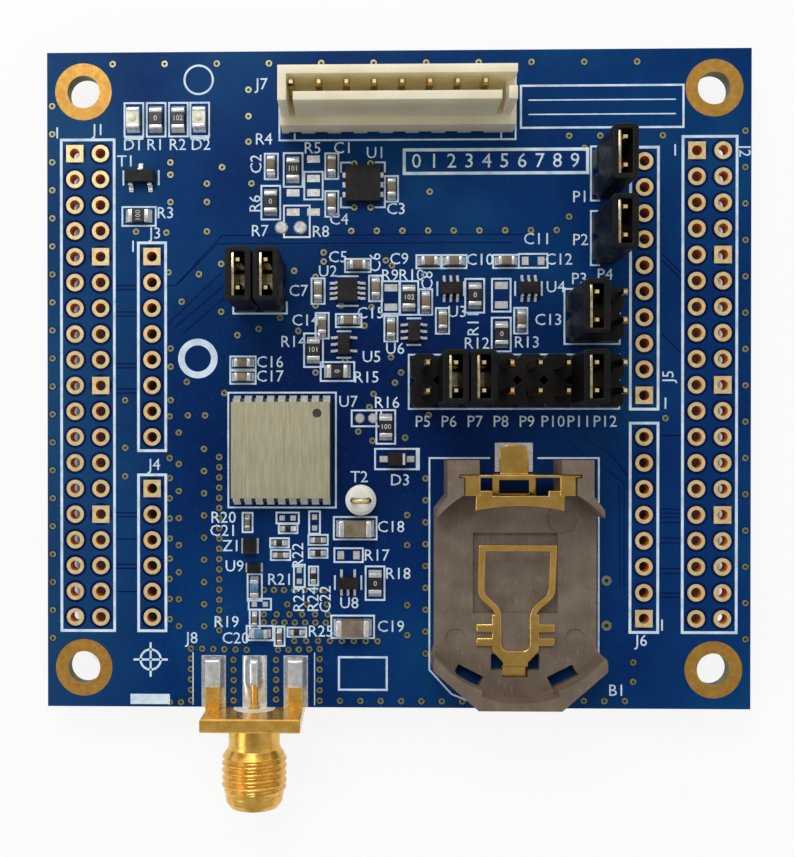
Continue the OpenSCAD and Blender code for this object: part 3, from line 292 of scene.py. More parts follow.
def shield_finish():
    """Brushed sheet metal."""
    made = Finish("shield_metal", metallic=0.82)
    made.paint(made.noise(0.14, 3, (1, 16, 1)), [
        (0.25, (176, 168, 140)), (0.5, (188, 180, 152)), (0.75, (200, 193, 166))])
    made.overlay(made.noise(3.5), 0.5, 1.0, (168, 158, 130))
    made.gloss(made.noise(0.3, 3, (1, 10, 1)), 0.38, 0.48)
    made.relief(made.noise(0.1, 3, (1, 14, 1)), 0.0012)
    return made.material


def holder_finish():
    """Glass-filled plastic, with fibres that show along the flow and dark specks."""
    made = Finish("holder_plastic")
    made.paint(made.noise(2.2, 4), [
        (0.3, (98, 84, 70)), (0.5, (108, 93, 79)), (0.7, (119, 105, 91))])
    made.overlay(made.noise(0.16, 3, (1, 6, 1)), 0.58, 0.95, (142, 129, 114))
    made.overlay(made.noise(0.2, 2), 0.6, 1.0, (76, 64, 54))
    made.gloss(made.noise(0.4), 0.42, 0.62)
    made.relief(made.noise(0.14, 3), 0.012)
    return made.material


def via_hole_finish():
    """A dark disc over a via's bore: painted shade of the hole."""
    made = Finish("via_bore_shade", metallic=0.4, roughness=0.6)
    made.paint(made.noise(0.15), [(0.3, (18, 16, 12)), (0.7, (46, 40, 28))])
    return made.material


# Darker and lighter ovals on the mask: partly where the board has less or more copper under it, partly
# painted reflection
COPPER_AND_SHEEN_ZONES = (
    ((-3, -3), (30, 22), 0.75, (6, 30, 80)),
    ((16, -14), (26, 26), 1.5, (6, 34, 92)),
    ((-38, -6), (16, 70), 1.2, (32, 68, 104)),
)

# Finishes by slot. The keys leave off the dotted number that a name gets when the frame has it too
FINISHES = {made.name.partition(".")[0]: made for made in (
    solder_mask("board_mask", (5, 42, 96), (8, 54, 107), (14, 68, 114), COPPER_AND_SHEEN_ZONES),
    metal("gold_plate", (172, 124, 46), (184, 136, 56), (198, 150, 68), 0.3, 0.44, 0.6, depth=0.003,
          metallic=0.6),
    metal("hole_plating", (222, 190, 128), (234, 208, 150), (244, 224, 174), 0.28, 0.42, 0.5,
          depth=0.002, metallic=0.5),
    metal("solder", (204, 205, 203), (222, 223, 221), (238, 238, 236), 0.2, 0.32, 0.6, metallic=0.65),
    metal("jack_gold", (214, 160, 66), (230, 180, 82), (242, 200, 106), 0.18, 0.3, 0.8,
          depth=0.0015, metallic=0.72),
    metal("contact_brass", (222, 172, 84), (234, 186, 98), (244, 204, 120), 0.1, 0.2, 1.2,
          depth=0.002, metallic=1.0, edge=0.16),
    metal("pin_gold", (206, 180, 124), (224, 200, 148), (240, 222, 178), 0.2, 0.34, 0.5, metallic=0.5),
    metal("clip_metal", (164, 148, 108), (214, 200, 160), (246, 238, 212), 0.18, 0.32, 0.5),
    shield_finish(),
    holder_finish(),
    moulded("insulator_white", (214, 208, 192), (236, 232, 220), (250, 248, 242), 0.4, 0.55),
    moulded("module_mask", (16, 40, 34), (24, 58, 46), (38, 76, 60), 0.35, 0.5),
    moulded("chip_black", (18, 16, 16), (27, 25, 25), (40, 37, 36), 0.42, 0.6, 0.3,
            sockets={"Specular IOR Level": 0.2}),
    moulded("ivory_plastic", (222, 208, 176), (231, 218, 186), (239, 228, 200), 0.4, 0.55,
            1.0, 0.008, {"Subsurface Weight": 0.5, "Subsurface Scale": 0.003,
                         "Subsurface Radius": (1.0, 0.9, 0.7)}),
    moulded("header_black", (7, 7, 7), (12, 11, 11), (22, 20, 19), 0.32, 0.5, 0.6, 0.008,
            {"Specular IOR Level": 0.2}),
    moulded("capacitor_ceramic", (96, 84, 66), (116, 102, 82), (138, 122, 100), 0.4, 0.55, 0.3),
    moulded("resistor_ceramic", (14, 14, 15), (24, 24, 26), (40, 40, 42), 0.28, 0.42, 0.3),
    moulded("light_clear", (206, 204, 178), (226, 224, 200), (242, 242, 226), 0.2, 0.32, 0.3,
            0.003, {"Subsurface Weight": 0.3, "Subsurface Scale": 0.0005}),
    moulded("inductor_blue", (52, 86, 112), (74, 116, 146), (104, 148, 176), 0.3, 0.45, 0.3),
    moulded("bead_white", (214, 216, 204), (234, 236, 226), (248, 249, 244), 0.25, 0.38, 0.6,
            0.004, {"Subsurface Weight": 0.2, "Subsurface Scale": 0.001}),
)}
LAMINATE = laminate_finish()
VIA_BORE_SHADE = via_hole_finish()
TRACK_MASK = solder_mask("track_mask", (4, 16, 58), (6, 24, 72), (10, 34, 86))
LEGEND_INK = moulded("legend_ink", (176, 200, 220), (204, 224, 238), (222, 238, 248), 0.45, 0.6, 0.3,
                     0.004)
CODE_INK = moulded("code_ink", (176, 176, 172), (206, 206, 202), (226, 226, 224), 0.4, 0.55, 0.3)
ETCHED_INK = moulded("etched_mark", (34, 30, 24), (50, 45, 36), (70, 64, 54), 0.5, 0.65, 0.3)
VIA_RING = metal("via_ring", (112, 116, 92), (142, 146, 118), (170, 172, 144), 0.3, 0.46, 0.3)
PIN_SIDE = metal("pin_side", (176, 140, 78), (200, 164, 98), (222, 190, 128), 0.1, 0.2, 0.5,
                 (1, 1, 6), 0.002, metallic=1.0)
# A darker, redder copy of the hole plating for the walls inside the header holes: painted shade
HOLE_WALL_PAINTED_SHADE = metal("hole_wall_painted_shade", (196, 104, 44), (226, 136, 62), (244, 168, 92), 0.3, 0.5, 0.4,
                  metallic=0.15)


def dress_nodes():
    """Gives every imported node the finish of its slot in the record."""
    for row in frame["record"]["subparts"]:
        mesh = NODES[row["node"]].data
        mesh.materials.clear()
        mesh.materials.append(FINISHES[row["material_slot"]])
        if row["material_slot"] == "pin_gold":
            upright_faces(row["node"], PIN_SIDE)
    upright_faces("circuit_board", LAMINATE)
    # The walls inside the header holes get the darker copy of the plating, as painted shade
    for node in HEADERS:
        upright_faces(node, HOLE_WALL_PAINTED_SHADE)
    tinned = NODES["antenna_jack_pads"].data.materials
    tinned.clear()
    tinned.append(FINISHES["solder"])


def upright_faces(node, finish):
    """Gives the upright faces of a node a finish of their own."""
    mesh = NODES[node].data
    mesh.materials.append(finish)
    for face in mesh.polygons:
        face.material_index = 0 if abs(face.normal.z) > LEVEL_RISE else 1


# Degrees that faces turn by at an edge before soften rounds it, and before piece shades it sharp
ROUNDED_TURN = 35
SHARP_TURN = 32


def soften(node, width, segments=2, smooth=True, join=0.001, level=0.5):
    """Breaks the sharp edges of a node's solids with a small round. Corners closer than join are one
    corner, and faces within level degrees of each other are one face, so that the round runs clean."""
    piece = NODES[node]
    normals = piece.data.attributes.get("custom_normal")
    if normals:
        piece.data.attributes.remove(normals)
    piece.data.polygons.foreach_set("use_smooth", [smooth] * len(piece.data.polygons))
    weld = piece.modifiers.new("join_corners", "WELD")
    weld.merge_threshold = join * MM
    flat = piece.modifiers.new("join_faces", "DECIMATE")
    flat.decimate_type = "DISSOLVE"
    flat.angle_limit = math.radians(level)
    bevel = piece.modifiers.new("break_edges", "BEVEL")
    bevel.width = width * MM
    bevel.segments = segments
    bevel.limit_method = "ANGLE"
    bevel.angle_limit = math.radians(ROUNDED_TURN)
    if smooth:
        piece.modifiers.new("even_shade", "WEIGHTED_NORMAL")


# Widths of the rounds
EDGE_ROUNDS = {
    "wire_header_housing": 0.08, "jumper_caps": 0.1, "jumper_row_base": 0.06, "right_jumper_base": 0.06,
    "left_jumper_base": 0.06, "single_jumper_bases": 0.06, "battery_holder_body": 0.08,
    "resistor_ends": 0.04, "capacitor_ends": 0.06, "large_capacitor_ends": 0.1, "capacitor_bodies": 0.03,
    "large_capacitor_bodies": 0.05, "resistor_bodies": 0.02, "inductor_bodies": 0.04,
    "inductor_ends": 0.05, "light_ends": 0.04, "sensor_package": 0.05, "jumper_cap_clips": 0.03,
}
# Widths of the rounds on moulded packages, whose corners by the leads lie closer together
CHIP_ROUNDS = {
    "small_chips": 0.03, "eight_lead_chip": 0.03, "transistor_body_block": 0.04, "diode_body_block": 0.04,
}


# Building meshes

# Lines end at one of some levels a step apart, so that two that cross don't share a face
LINE_STEP = 0.0005
LINE_LEVELS = 7


class Build:
    """Corners and faces of one piece, with a finish number for each face."""

    def __init__(self):
        self.corners = []
        self.faces = []
        self.finish_numbers = []

    def add(self, corners, faces, finish=0):
        first = len(self.corners)
        self.corners.extend(tuple(c) for c in corners)
        self.faces.extend([first + i for i in face] for face in faces)
        self.finish_numbers.extend([finish] * len(faces))

    def loft(self, rings, finish=0, looped=False):
        """Joins rings of equally many corners into one closed skin. A looped loft meets its start."""
        n = len(rings[0])
        joins = len(rings) if looped else len(rings) - 1
        faces = []
        for k in range(joins):
            a, b = k * n, (k + 1) % len(rings) * n
            faces.extend((a + i, a + (i + 1) % n, b + (i + 1) % n, b + i) for i in range(n))
        if not looped:
            last = (len(rings) - 1) * n
            faces.append(tuple(reversed(range(n))))
            faces.append(tuple(range(last, last + n)))
        self.add([c for ring in rings for c in ring], faces, finish)

    def prism(self, outline, low, high, finish=0):
        """An upright solid on an outline."""
        self.loft([[(x, y, low) for x, y in outline], [(x, y, high) for x, y in outline]], finish)

    def strip(self, start, end, width, low, high):
        """A flat bar from start to end, with square ends half a width past them."""
        start, end = Vector(start), Vector(end)
        along = (end - start).normalized() * width / 2
        across = Vector((-along.y, along.x))
        start, end = start - along, end + along
        self.prism([start - across, end - across, end + across, start + across], low, high)

    def path(self, points, width, low, high):
        """A flat line through points, mitred at its corners, and closed if it ends where it starts."""
        closed = points[0] == points[-1]
        spots = [Vector(p) for p in (points[:-1] if closed else points)]
        last = len(spots) - 1
        high += LINE_STEP * (len(self.faces) % LINE_LEVELS)
        rings = []
        for i, spot in enumerate(spots):
            came = (spot - spots[i - 1]).normalized() if closed or i > 0 else None
            goes = (spots[(i + 1) % (last + 1)] - spot).normalized() if closed or i < last else None
            came, goes = came or goes, goes or came
            middle = (came + goes).normalized()
            side = Vector((-middle.y, middle.x)) * (width / 2 / middle.dot(goes))
            if not closed and i in (0, last):
                spot = spot + goes * (width / 2 if i else -width / 2)
            left, right = spot + side, spot - side
            rings.append([(*right, low), (*left, low), (*left, high), (*right, high)])
        self.loft(rings, looped=closed)

    def block(self, low, high, cut):
        """A block with its edges cut off."""
        def ring(z, inset):
            x0, x1 = low[0] + inset, high[0] - inset
            y0, y1 = low[1] + inset, high[1] - inset
            return [(x0 + cut, y0, z), (x1 - cut, y0, z), (x1, y0 + cut, z), (x1, y1 - cut, z),
                    (x1 - cut, y1, z), (x0 + cut, y1, z), (x0, y1 - cut, z), (x0, y0 + cut, z)]

        self.loft([ring(low[2], cut), ring(low[2] + cut, 0), ring(high[2] - cut, 0), ring(high[2], cut)])

    def outline(self, low_corner, high_corner, width, low, high):
        """A line round an upright rectangle on the board."""
        (x0, y0), (x1, y1) = low_corner, high_corner
        self.path([(x0, y0), (x1, y0), (x1, y1), (x0, y1), (x0, y0)], width, low, high)

    def annulus(self, x, y, inner, outer, low, high, sides):
        """A flat ring."""
        angles = [2 * math.pi * i / sides for i in range(sides)]
        section = [(outer, low), (outer, high), (inner, high), (inner, low)]
        self.loft([[(x + r * math.cos(a), y + r * math.sin(a), z) for a in angles] for r, z in section],
                  looped=True)

    def disc(self, x, y, radius, low, high, sides, finish=0):
        """A flat round plate."""
        angles = [2 * math.pi * i / sides for i in range(sides)]
        rim = [(x + radius * math.cos(a), y + radius * math.sin(a)) for a in angles]
        self.prism(rim, low, high, finish)

    def piece(self, name, finishes, slot, smooth=False):
        """Makes the object, on the part's one body. The slot is not used."""
        mesh = bpy.data.meshes.new(name)
        mesh.from_pydata([[c * MM for c in corner] for corner in self.corners], [], self.faces)
        for finish in finishes:
            mesh.materials.append(finish)
        mesh.polygons.foreach_set("material_index", self.finish_numbers)
        skin = bmesh.new()
        skin.from_mesh(mesh)
        bmesh.ops.recalc_face_normals(skin, faces=skin.faces)
        skin.to_mesh(mesh)
        skin.free()
        mesh.polygons.foreach_set("use_smooth", [smooth] * len(mesh.polygons))
        if smooth:
            mesh.set_sharp_from_angle(angle=math.radians(SHARP_TURN))
        mesh.update()
        made = show(name, mesh)
        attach(made, "root")
        return made


# Height of a capital letter as a share of its type size
CAP_SHARE = 0.7
# Corners of a letter closer than this are one corner, so that its front, sides and back join up
LETTER_JOIN = 0.001


def write(build, labels, height, low, thickness):
    """Adds lettering to a build. Each label is its text, the middle of its place, and its turn."""
    objects = []
    for text, x, y, turn in labels:
        curve = bpy.data.curves.new("label", "FONT")
        curve.body = text
        curve.size = height / CAP_SHARE * MM
        curve.align_x = "CENTER"
        curve.align_y = "CENTER"
        curve.resolution_u = 2
        curve.extrude = thickness / 2 * MM
        label = show("label", curve)
        label.location = Vector((x, y, low + thickness / 2)) * MM
        label.rotation_euler.z = math.radians(turn)
        objects.append(label)
    graph = bpy.context.evaluated_depsgraph_get()
    for label in objects:
        shown = label.evaluated_get(graph)
        skin = bmesh.new()
        skin.from_mesh(shown.to_mesh())
        shown.to_mesh_clear()
        bmesh.ops.remove_doubles(skin, verts=skin.verts, dist=LETTER_JOIN * MM)
        bmesh.ops.dissolve_degenerate(skin, edges=skin.edges, dist=LETTER_JOIN * MM)
        skin.verts.index_update()
        corners = [shown.matrix_world @ v.co / MM for v in skin.verts]
        build.add(corners, [[v.index for v in face.verts] for face in skin.faces])
        skin.free()
    for label in objects:
        curve = label.data
        bpy.data.objects.remove(label)
        bpy.data.curves.remove(curve)


# Legend print on the board

INK_T = 0.02
# Where the ink starts and ends over the board
INK = (BOARD_TOP, BOARD_TOP + INK_T)
HEADER_LINE = 0.26
CHIP_LINE = 0.17
HEADER_MARGIN = (0.5, 0.5)
TEXT_HEIGHT = 1.12
DIGIT_HEIGHT = 1.4
DIGIT_START = (1.9, 21.35)
DIGIT_STEP = 1.72
JUMPER_PAIRS = 8
FIRST_JUMPER = 5
JUMPER_TEXT_GAP = 1.4
HEADERS = ("left_outer_header_holes", "right_outer_header_holes", "left_upper_header_holes",
           "left_lower_header_holes", "right_upper_header_holes", "right_lower_header_holes")

# Reference marks: text, middle of the place along X and Y, and turn in degrees
LABELS = [
    ("J1", -29.4, 24.6, 0), ("J2", 33.8, 22.2, -90), ("J3", -23.8, 14.4, 0), ("J4", -23.9, -8.4, 0),
    ("J5", 26.5, 0.3, 90), ("J6", 23.9, -25.6, 0), ("J7", -13.3, 29.0, 0), ("J8", -20.2, -25.5, 0),
    ("1", -33.5, 24.3, 0), ("1", 27.1, 22.3, 0), ("1", -26.0, 13.1, 0), ("1", 26.2, -2.4, 0),
    ("1", 25.9, -24.1, 0), ("D1", -26.0, 23.1, 0), ("R1", -23.8, 23.1, 0), ("R2", -21.6, 23.1, 0),
    ("D2", -19.3, 23.1, 0), ("T1", -26.7, 21.5, 0), ("R3", -22.8, 16.4, 0), ("R4", -13.1, 23.6, 0),
    ("R5", -8.3, 22.7, 0), ("C1", -5.3, 22.7, 0), ("U1", -2.1, 22.2, 0), ("C2", -13.8, 21.2, 90),
    ("R6", -13.9, 17.3, 90), ("C3", -0.1, 16.7, 0), ("C4", -5.7, 15.7, 0), ("R7", -13.5, 14.6, 0),
    ("R8", -7.5, 14.5, 0), ("C5", -5.8, 12.0, 0), ("C6", -2.1, 11.5, 90), ("U2", -6.8, 10.6, 0),
    ("C7", -9.7, 8.7, 0), ("R9", -0.7, 10.2, 0), ("R10", 1.4, 10.2, 0), ("C8", 3.0, 9.7, 90),
    ("C9", 0.2, 11.8, 0), ("C10", 8.1, 11.7, 0), ("C11", 13.7, 13.7, 0), ("P2", 17.9, 13.6, 0),
    ("C12", 15.8, 11.7, 0), ("U3", 5.9, 6.6, 0), ("R11", 7.5, 5.5, 90), ("U4", 15.5, 9.0, 0),
    ("P3", 17.8, 9.8, 0), ("P4", 20.3, 10.2, 0), ("C13", 14.8, 5.8, 0), ("R12", 7.8, 3.5, 0),
    ("R13", 12.7, 3.6, 0), ("C14", -9.0, 5.8, 0), ("C15", -2.6, 6.5, 0), ("R14", -10.2, 3.7, 0),
    ("U5", -2.5, 2.2, 0), ("U6", -0.2, 3.0, 0), ("R15", -3.0, 0.2, 0), ("C16", -12.5, 1.7, 0),
    ("C17", -12.5, 0.3, 0), ("U7", -4.8, -2.2, 0), ("R16", -1.0, -2.3, 0), ("P1", 17.9, 17.8, 0),
    ("D3", 0.3, -9.9, 0), ("T2", -3.7, -9.6, 0), ("C18", -0.6, -14.5, 0), ("R17", -2.0, -17.3, 0),
    ("R18", 0.1, -19.1, 0), ("U8", -4.7, -22.0, 0), ("C19", -0.6, -24.3, 0), ("B1", 21.5, -30.5, 0),
    ("R19", -16.8, -23.9, 0), ("C20", -15.9, -25.5, 0), ("R20", -17.1, -13.6, 0),
    ("C21", -17.1, -14.9, 0), ("Z1", -16.3, -16.4, 0), ("U9", -16.0, -18.4, 0), ("R21", -11.5, -19.7, 0),
    ("R22", -9.7, -17.3, 90), ("R23", -9.6, -21.6, 90), ("R24", -8.2, -21.6, 90),
    ("C22", -7.0, -21.6, 90), ("R25", -7.5, -24.8, 0),
]


# Margins of a frame along a chip and across it
SMALL_RESISTOR = 1.5
SMALL_MARGINS = (0.42, 0.2)
RESISTOR_MARGINS = (0.65, 0.3)
BARE_PAD_MARGINS = (0.3, 0.28)
LIGHT_MARGINS = (0.65, 0.3)
CHIP_MARGINS = (
    ("capacitor_bodies", "capacitor_ends", (0.45, 0.24)),
    ("large_capacitor_bodies", "large_capacitor_ends", (0.5, 0.3)),
    ("inductor_bodies", "inductor_ends", (0.5, 0.3)),
)
# Write-on fields: low corner, high corner and width of the line
FIELDS = (
    ((12.1, 24.6), (27.9, 28.7), 0.2), ((0.7, 20.2), (18.6, 22.5), 0.3),
    ((-5.7, -30.5), (-1.0, -27.3), 0.2),
)
# Ruled lines, a bar and a cross: start, end and width
RULES = (
    ((12.9, 25.9), (27.1, 25.9), 0.12), ((12.9, 27.3), (27.1, 27.3), 0.12),
    ((-20.1, -26.9), (-20.1, -32.0), 0.1), ((-8.1, -26.9), (-8.1, -32.0), 0.1),
    ((-25.8, -31.5), (-22.9, -31.5), 1.0),
    ((-25.9, -27.6), (-22.7, -27.6), 0.2), ((-24.3, -29.2), (-24.3, -26.0), 0.2),
)
# Rings: middle, inner and outer radius, and sides
RINGS = (
    ((-19.5, 29.5), 1.3, 1.5, 40), ((-19.6, 2.1), 1.3, 1.95, 48), ((-24.3, -27.6), 0.9, 1.1, 32),
)


def chip_frame(ink, box, margins):
    """A frame round a chip, with a margin along its length and one across it."""
    low, high = box
    along, across = margins
    upright = high.y - low.y > high.x - low.x
    margin = Vector((across, along)) if upright else Vector((along, across))
    ink.outline(low.xy - margin, high.xy + margin, CHIP_LINE, *INK)


def node_frame(ink, nodes, margin, width=CHIP_LINE):
    """A frame round some nodes together."""
    low, high = box_of(*nodes)
    ink.outline(low.xy - Vector(margin), high.xy + Vector(margin), width, *INK)


def pairs(boxes):
    """Boxes over each two neighbours that lie closest to each other."""
    def nearest(i):
        middle = sum(boxes[i], Vector())
        others = [j for j in range(len(boxes)) if j != i]
        return min(others, key=lambda j: (middle - sum(boxes[j], Vector())).length)

    near = [nearest(i) for i in range(len(boxes))]
    return [box_round([*boxes[i], *boxes[j]]) for i, j in enumerate(near) if near[j] == i and i < j]


def chip_frames(ink):
    """Frames round the chips, the empty pads and the status lights."""
    for box in solids_of("resistor_bodies", "resistor_ends"):
        small = max((box[1] - box[0]).xy) < SMALL_RESISTOR
        chip_frame(ink, box, SMALL_MARGINS if small else RESISTOR_MARGINS)
    for bodies, ends, margins in CHIP_MARGINS:
        for box in solids_of(bodies, ends):
            chip_frame(ink, box, margins)
    for box in pairs(solids_of("bare_solder_pads")):
        chip_frame(ink, box, BARE_PAD_MARGINS)
    bar_gap, bar_margin, bar_width = 0.75, 0.1, 0.4
    for low, high in solids_of("light_bodies", "light_ends"):
        chip_frame(ink, (low, high), LIGHT_MARGINS)
        bar = low.y - bar_gap
        ink.strip((low.x - bar_margin, bar), (high.x + bar_margin, bar), bar_width, *INK)


def package_marks(ink):
    """Brackets beside the leaded packages, and frames round the module, diode and sensor."""
    gap = 0.3
    for low, high in [box for node in ("small_chips", "eight_lead_chip", "transistor_body_block")
                      for box in solids_of(node)]:
        if high.x - low.x >= high.y - low.y:
            for x in (low.x - gap, high.x + gap):
                ink.strip((x, low.y), (x, high.y), CHIP_LINE, *INK)
        else:
            for y in (low.y - gap, high.y + gap):
                ink.strip((low.x, y), (high.x, y), CHIP_LINE, *INK)
    diode = ("diode_body_block", "diode_leads")
    node_frame(ink, diode, (0.6, 0.35))
    node_frame(ink, ("module_board", "module_terminals"), (0.45, 0.3))
    low, high = box_of(*diode)
    bar_gap, bar_margin, bar_width = 0.45, 0.3, 0.3
    bar = high.x + bar_gap
    ink.strip((bar, low.y - bar_margin), (bar, high.y + bar_margin), bar_width, *INK)
    low, high = box_of("sensor_package")
    reach, leg = 0.45, 0.9
    for sx, x in ((-1, low.x - reach), (1, high.x + reach)):
        for sy, y in ((-1, low.y - reach), (1, high.y + reach)):
            ink.path([(x - sx * leg, y), (x, y), (x, y - sy * leg)], CHIP_LINE, *INK)


def connector_marks(ink):
    """Frames round the jumper headers, the wire header and the coin cell holder."""
    node_frame(ink, ("jumper_row_base",), (0.12, 0.12))
    node_frame(ink, ("right_jumper_base",), (0.15, 0.15))
    gap, leg = 0.1, 1
    low, high = box_of("left_jumper_base")
    left, right, foot = low.x - gap, high.x + gap, low.y - gap
    ink.path([(left, low.y + leg), (left, foot), (right, foot), (right, low.y + leg)], CHIP_LINE, *INK)
    side_gap, leg = 0.12, 0.8
    for low, high in solids_of("single_jumper_bases"):
        left, foot, top = low.x - side_gap, low.y - gap, high.y + gap
        ink.path([(left + leg, top), (left, top), (left, foot), (left + leg, foot)], CHIP_LINE, *INK)

    side_gap, front_gap = 0.3, 0.65
    first_tick, last_tick, tick = 1.2, 1.1, 0.6
    low, high = box_of("wire_header_housing")
    left, right, front = low.x - side_gap, high.x + side_gap, low.y - front_gap
    ink.path([(left, high.y), (left, front), (right, front), (right, high.y)], CHIP_LINE, *INK)
    for x in (low.x + first_tick, high.x - last_tick):
        ink.strip((x, front), (x, front + tick), CHIP_LINE, *INK)

    left_gap, right_gap, half_opening, straight_from = 0.1, 0.15, 2.4, 2.9
    cut_corner = ((2.2, 0.5), (4.4, -0.35))
    low, high = box_of("battery_holder_body")
    left, right = low.x - left_gap, high.x + right_gap
    top, foot = high.y + right_gap, low.y + straight_from
    middle = (low.x + high.x) / 2
    ink.path([(middle - half_opening, top), (left, top), (left, foot),
              *[(left + x, low.y + y) for x, y in cut_corner]], CHIP_LINE, *INK)
    ink.path([(middle + half_opening, top), (right, top), (right, foot)], CHIP_LINE, *INK)


def plain_marks(ink):
    """Write-on fields, ruled lines, a bar, rings and a cross."""
    for low, high, width in FIELDS:
        ink.outline(low, high, width, *INK)
    for start, end, width in RULES:
        ink.strip(start, end, width, *INK)
    for (x, y), inner, outer, sides in RINGS:
        ink.annulus(x, y, inner, outer, *INK, sides)


def legend():
    """The lines and the words printed on the board."""
    lines = Build()
    for node in HEADERS:
        node_frame(lines, (node,), HEADER_MARGIN, HEADER_LINE)
    chip_frames(lines)
    package_marks(lines)
    connector_marks(lines)
    plain_marks(lines)
    lines.piece("legend_lines", [LEGEND_INK], "board_mask")
    words = Build()
    low, high = box_of("jumper_row_base")
    step = (high.x - low.x) / JUMPER_PAIRS
    row = [(f"P{i + FIRST_JUMPER}", low.x + (i + 0.5) * step, low.y - JUMPER_TEXT_GAP, 0)
           for i in range(JUMPER_PAIRS)]
    digits = [(str(i), DIGIT_START[0] + DIGIT_STEP * i, DIGIT_START[1], 0) for i in range(10)]
    write(words, LABELS + row, TEXT_HEIGHT, INK[0], INK_T)
    write(words, digits, DIGIT_HEIGHT, INK[0], INK_T)
    words.piece("legend_text", [LEGEND_INK], "board_mask")


# Vias and tracks

# Inner and outer radius of a via's ring, and of the bare ring round a via and a header hole
VIA_RADII = (0.14, 0.33)
BIG_VIA_RADII = (0.2, 0.5)
VIA_CLEARANCE = (0.3, 0.42)
HOLE_CLEARANCE = (0.8, 1.12)
VIA_RING_T = 0.015
VIA_BORE_T = 0.006
# How far what lies under the mask lifts it
MASK_STEP = 0.004
TRACK_W = 0.13

# Rows of vias: first place, last place, how many
VIA_ROWS = [
    ((-34.0, 27.0), (-34.0, -25.5), 20), ((33.9, 24.2), (34.0, -25.4), 15),
    ((-28.0, 31.1), (23.4, 31.0), 11), ((-5.6, -31.6), (6.4, -31.6), 7),
    ((18.3, -31.5), (22.3, -31.5), 3), ((-17.5, -7.6), (-17.5, -24.7), 18),
    ((-19.0, -6.8), (-19.0, -24.3), 9), ((-21.5, -8.3), (-21.5, -24.3), 7),
    ((-22.4, -7.7), (-22.4, -23.6), 9), ((-13.1, -20.7), (-7.1, -20.7), 7),
    ((-10.8, -22.1), (-6.9, -22.1), 3), ((-13.1, -23.1), (-6.8, -23.1), 6),
    ((-13.1, -23.9), (-7.0, -23.9), 7), ((-10.1, -25.7), (-1.9, -25.7), 8),
    ((-20.3, -26.5), (-14.8, -26.6), 6), ((-11.7, -26.6), (-7.6, -26.5), 5),
    ((-20.3, -27.5), (-20.3, -31.6), 5), ((-16.1, -27.6), (-16.1, -31.6), 5),
    ((-11.9, -27.6), (-11.9, -31.5), 5), ((-7.6, -27.5), (-7.6, -31.6), 5),
    ((2.8, -9.7), (2.8, -26.9), 9), ((1.0, -13.3), (1.0, -25.1), 5),
    ((-4.5, 14.6), (15.6, 14.6), 9), ((16.8, 23.8), (25.9, 23.8), 4),
]
# Single vias
VIA_SPOTS = [
    (-14.6, 28.5), (-14.6, 25.9), (-14.6, 23.4), (-14.3, 19.3), (-4.2, 21.2), (-2.6, 21.2), (-4.2, 16.9),
    (-2.6, 16.9), (3.2, 18.4), (16.8, 15.9), (18.3, 22.6), (-22.5, 10.6), (-19.5, 10.4), (-17.3, 11.4),
    (-21.2, 7.7), (-17.3, 6.7), (-15.7, 4.4), (-22.3, 3.1), (-22.3, 1.3), (-20.7, -0.2), (-22.3, -2.0),
    (-22.4, -3.6), (-20.6, -3.5), (-18.9, -3.5), (-21.5, -5.2), (-17.0, -1.3), (-10.1, 10.7),
    (-11.5, 6.1), (-13.6, 5.0), (-9.7, 4.8), (-8.0, 10.1), (-8.0, 7.3), (-7.2, 12.5), (-7.2, 11.6),
    (-5.5, 7.3), (-2.5, 7.1), (-3.2, 5.3), (-5.1, 1.9), (-8.0, 0.7), (-1.1, 11.7), (-0.5, 11.2),
    (-0.6, 2.2), (0.4, 0.7), (-0.2, -0.3), (-2.3, -1.4), (-2.7, -2.7), (-3.8, -5.1), (-2.4, -6.0),
    (0.8, -5.7), (3.1, -3.5), (-22.3, 21.4), (-22.3, 20.2), (-22.3, 17.5), (-18.7, 19.3), (-18.7, 17.5),
    (-17.2, 20.9), (-25.7, 14.6), (-22.7, 14.5), (-18.7, 14.6), (23.1, -27.7), (23.1, -29.6),
    (26.2, -3.8), (-26.8, -2.0), (-26.8, -6.7), (-26.8, -9.5), (-22.4, -31.8), (-21.3, -31.8),
]
BIG_VIAS = [(20.5, -19.7), (20.5, -24.1)]


def via_places():
    """Middles of all but the big vias."""
    places = list(VIA_SPOTS)
    for (x0, y0), (x1, y1), count in VIA_ROWS:
        for i in range(count):
            share = i / (count - 1)
            places.append((x0 + (x1 - x0) * share, y0 + (y1 - y0) * share))
    return places


def vias():
    """Plated rings round a dark disc, a painted shade of the bore, on both faces of the board."""
    spots = [(place, radii) for places, radii in ((via_places(), VIA_RADII), (BIG_VIAS, BIG_VIA_RADII))
             for place in places]
    for name, face, up in (("vias_top", BOARD_TOP, 1), ("vias_underside", BOARD_LOW.z, -1)):
        build = Build()
        for (x, y), (inner, outer) in spots:
            build.annulus(x, y, inner, outer, face, face + up * VIA_RING_T, 16)
            # A dark disc in each bore: painted shade of the hole
            build.disc(x, y, inner, face, face + up * VIA_BORE_T, 12, finish=1)
        build.piece(name, [VIA_RING, VIA_BORE_SHADE], "hole_plating")


def clearances():
    """The darker ring of bare laminate under the mask round each header hole and via."""
    build = Build()
    for node in HEADERS:
        for low, high in solids_of(node):
            middle = (low + high) / 2
            build.annulus(middle.x, middle.y, *HOLE_CLEARANCE, BOARD_TOP, BOARD_TOP + MASK_STEP, 24)
    for x, y in via_places():
        build.annulus(x, y, *VIA_CLEARANCE, BOARD_TOP, BOARD_TOP + MASK_STEP, 16)
    build.piece("mask_clearances", [TRACK_MASK], "board_mask")


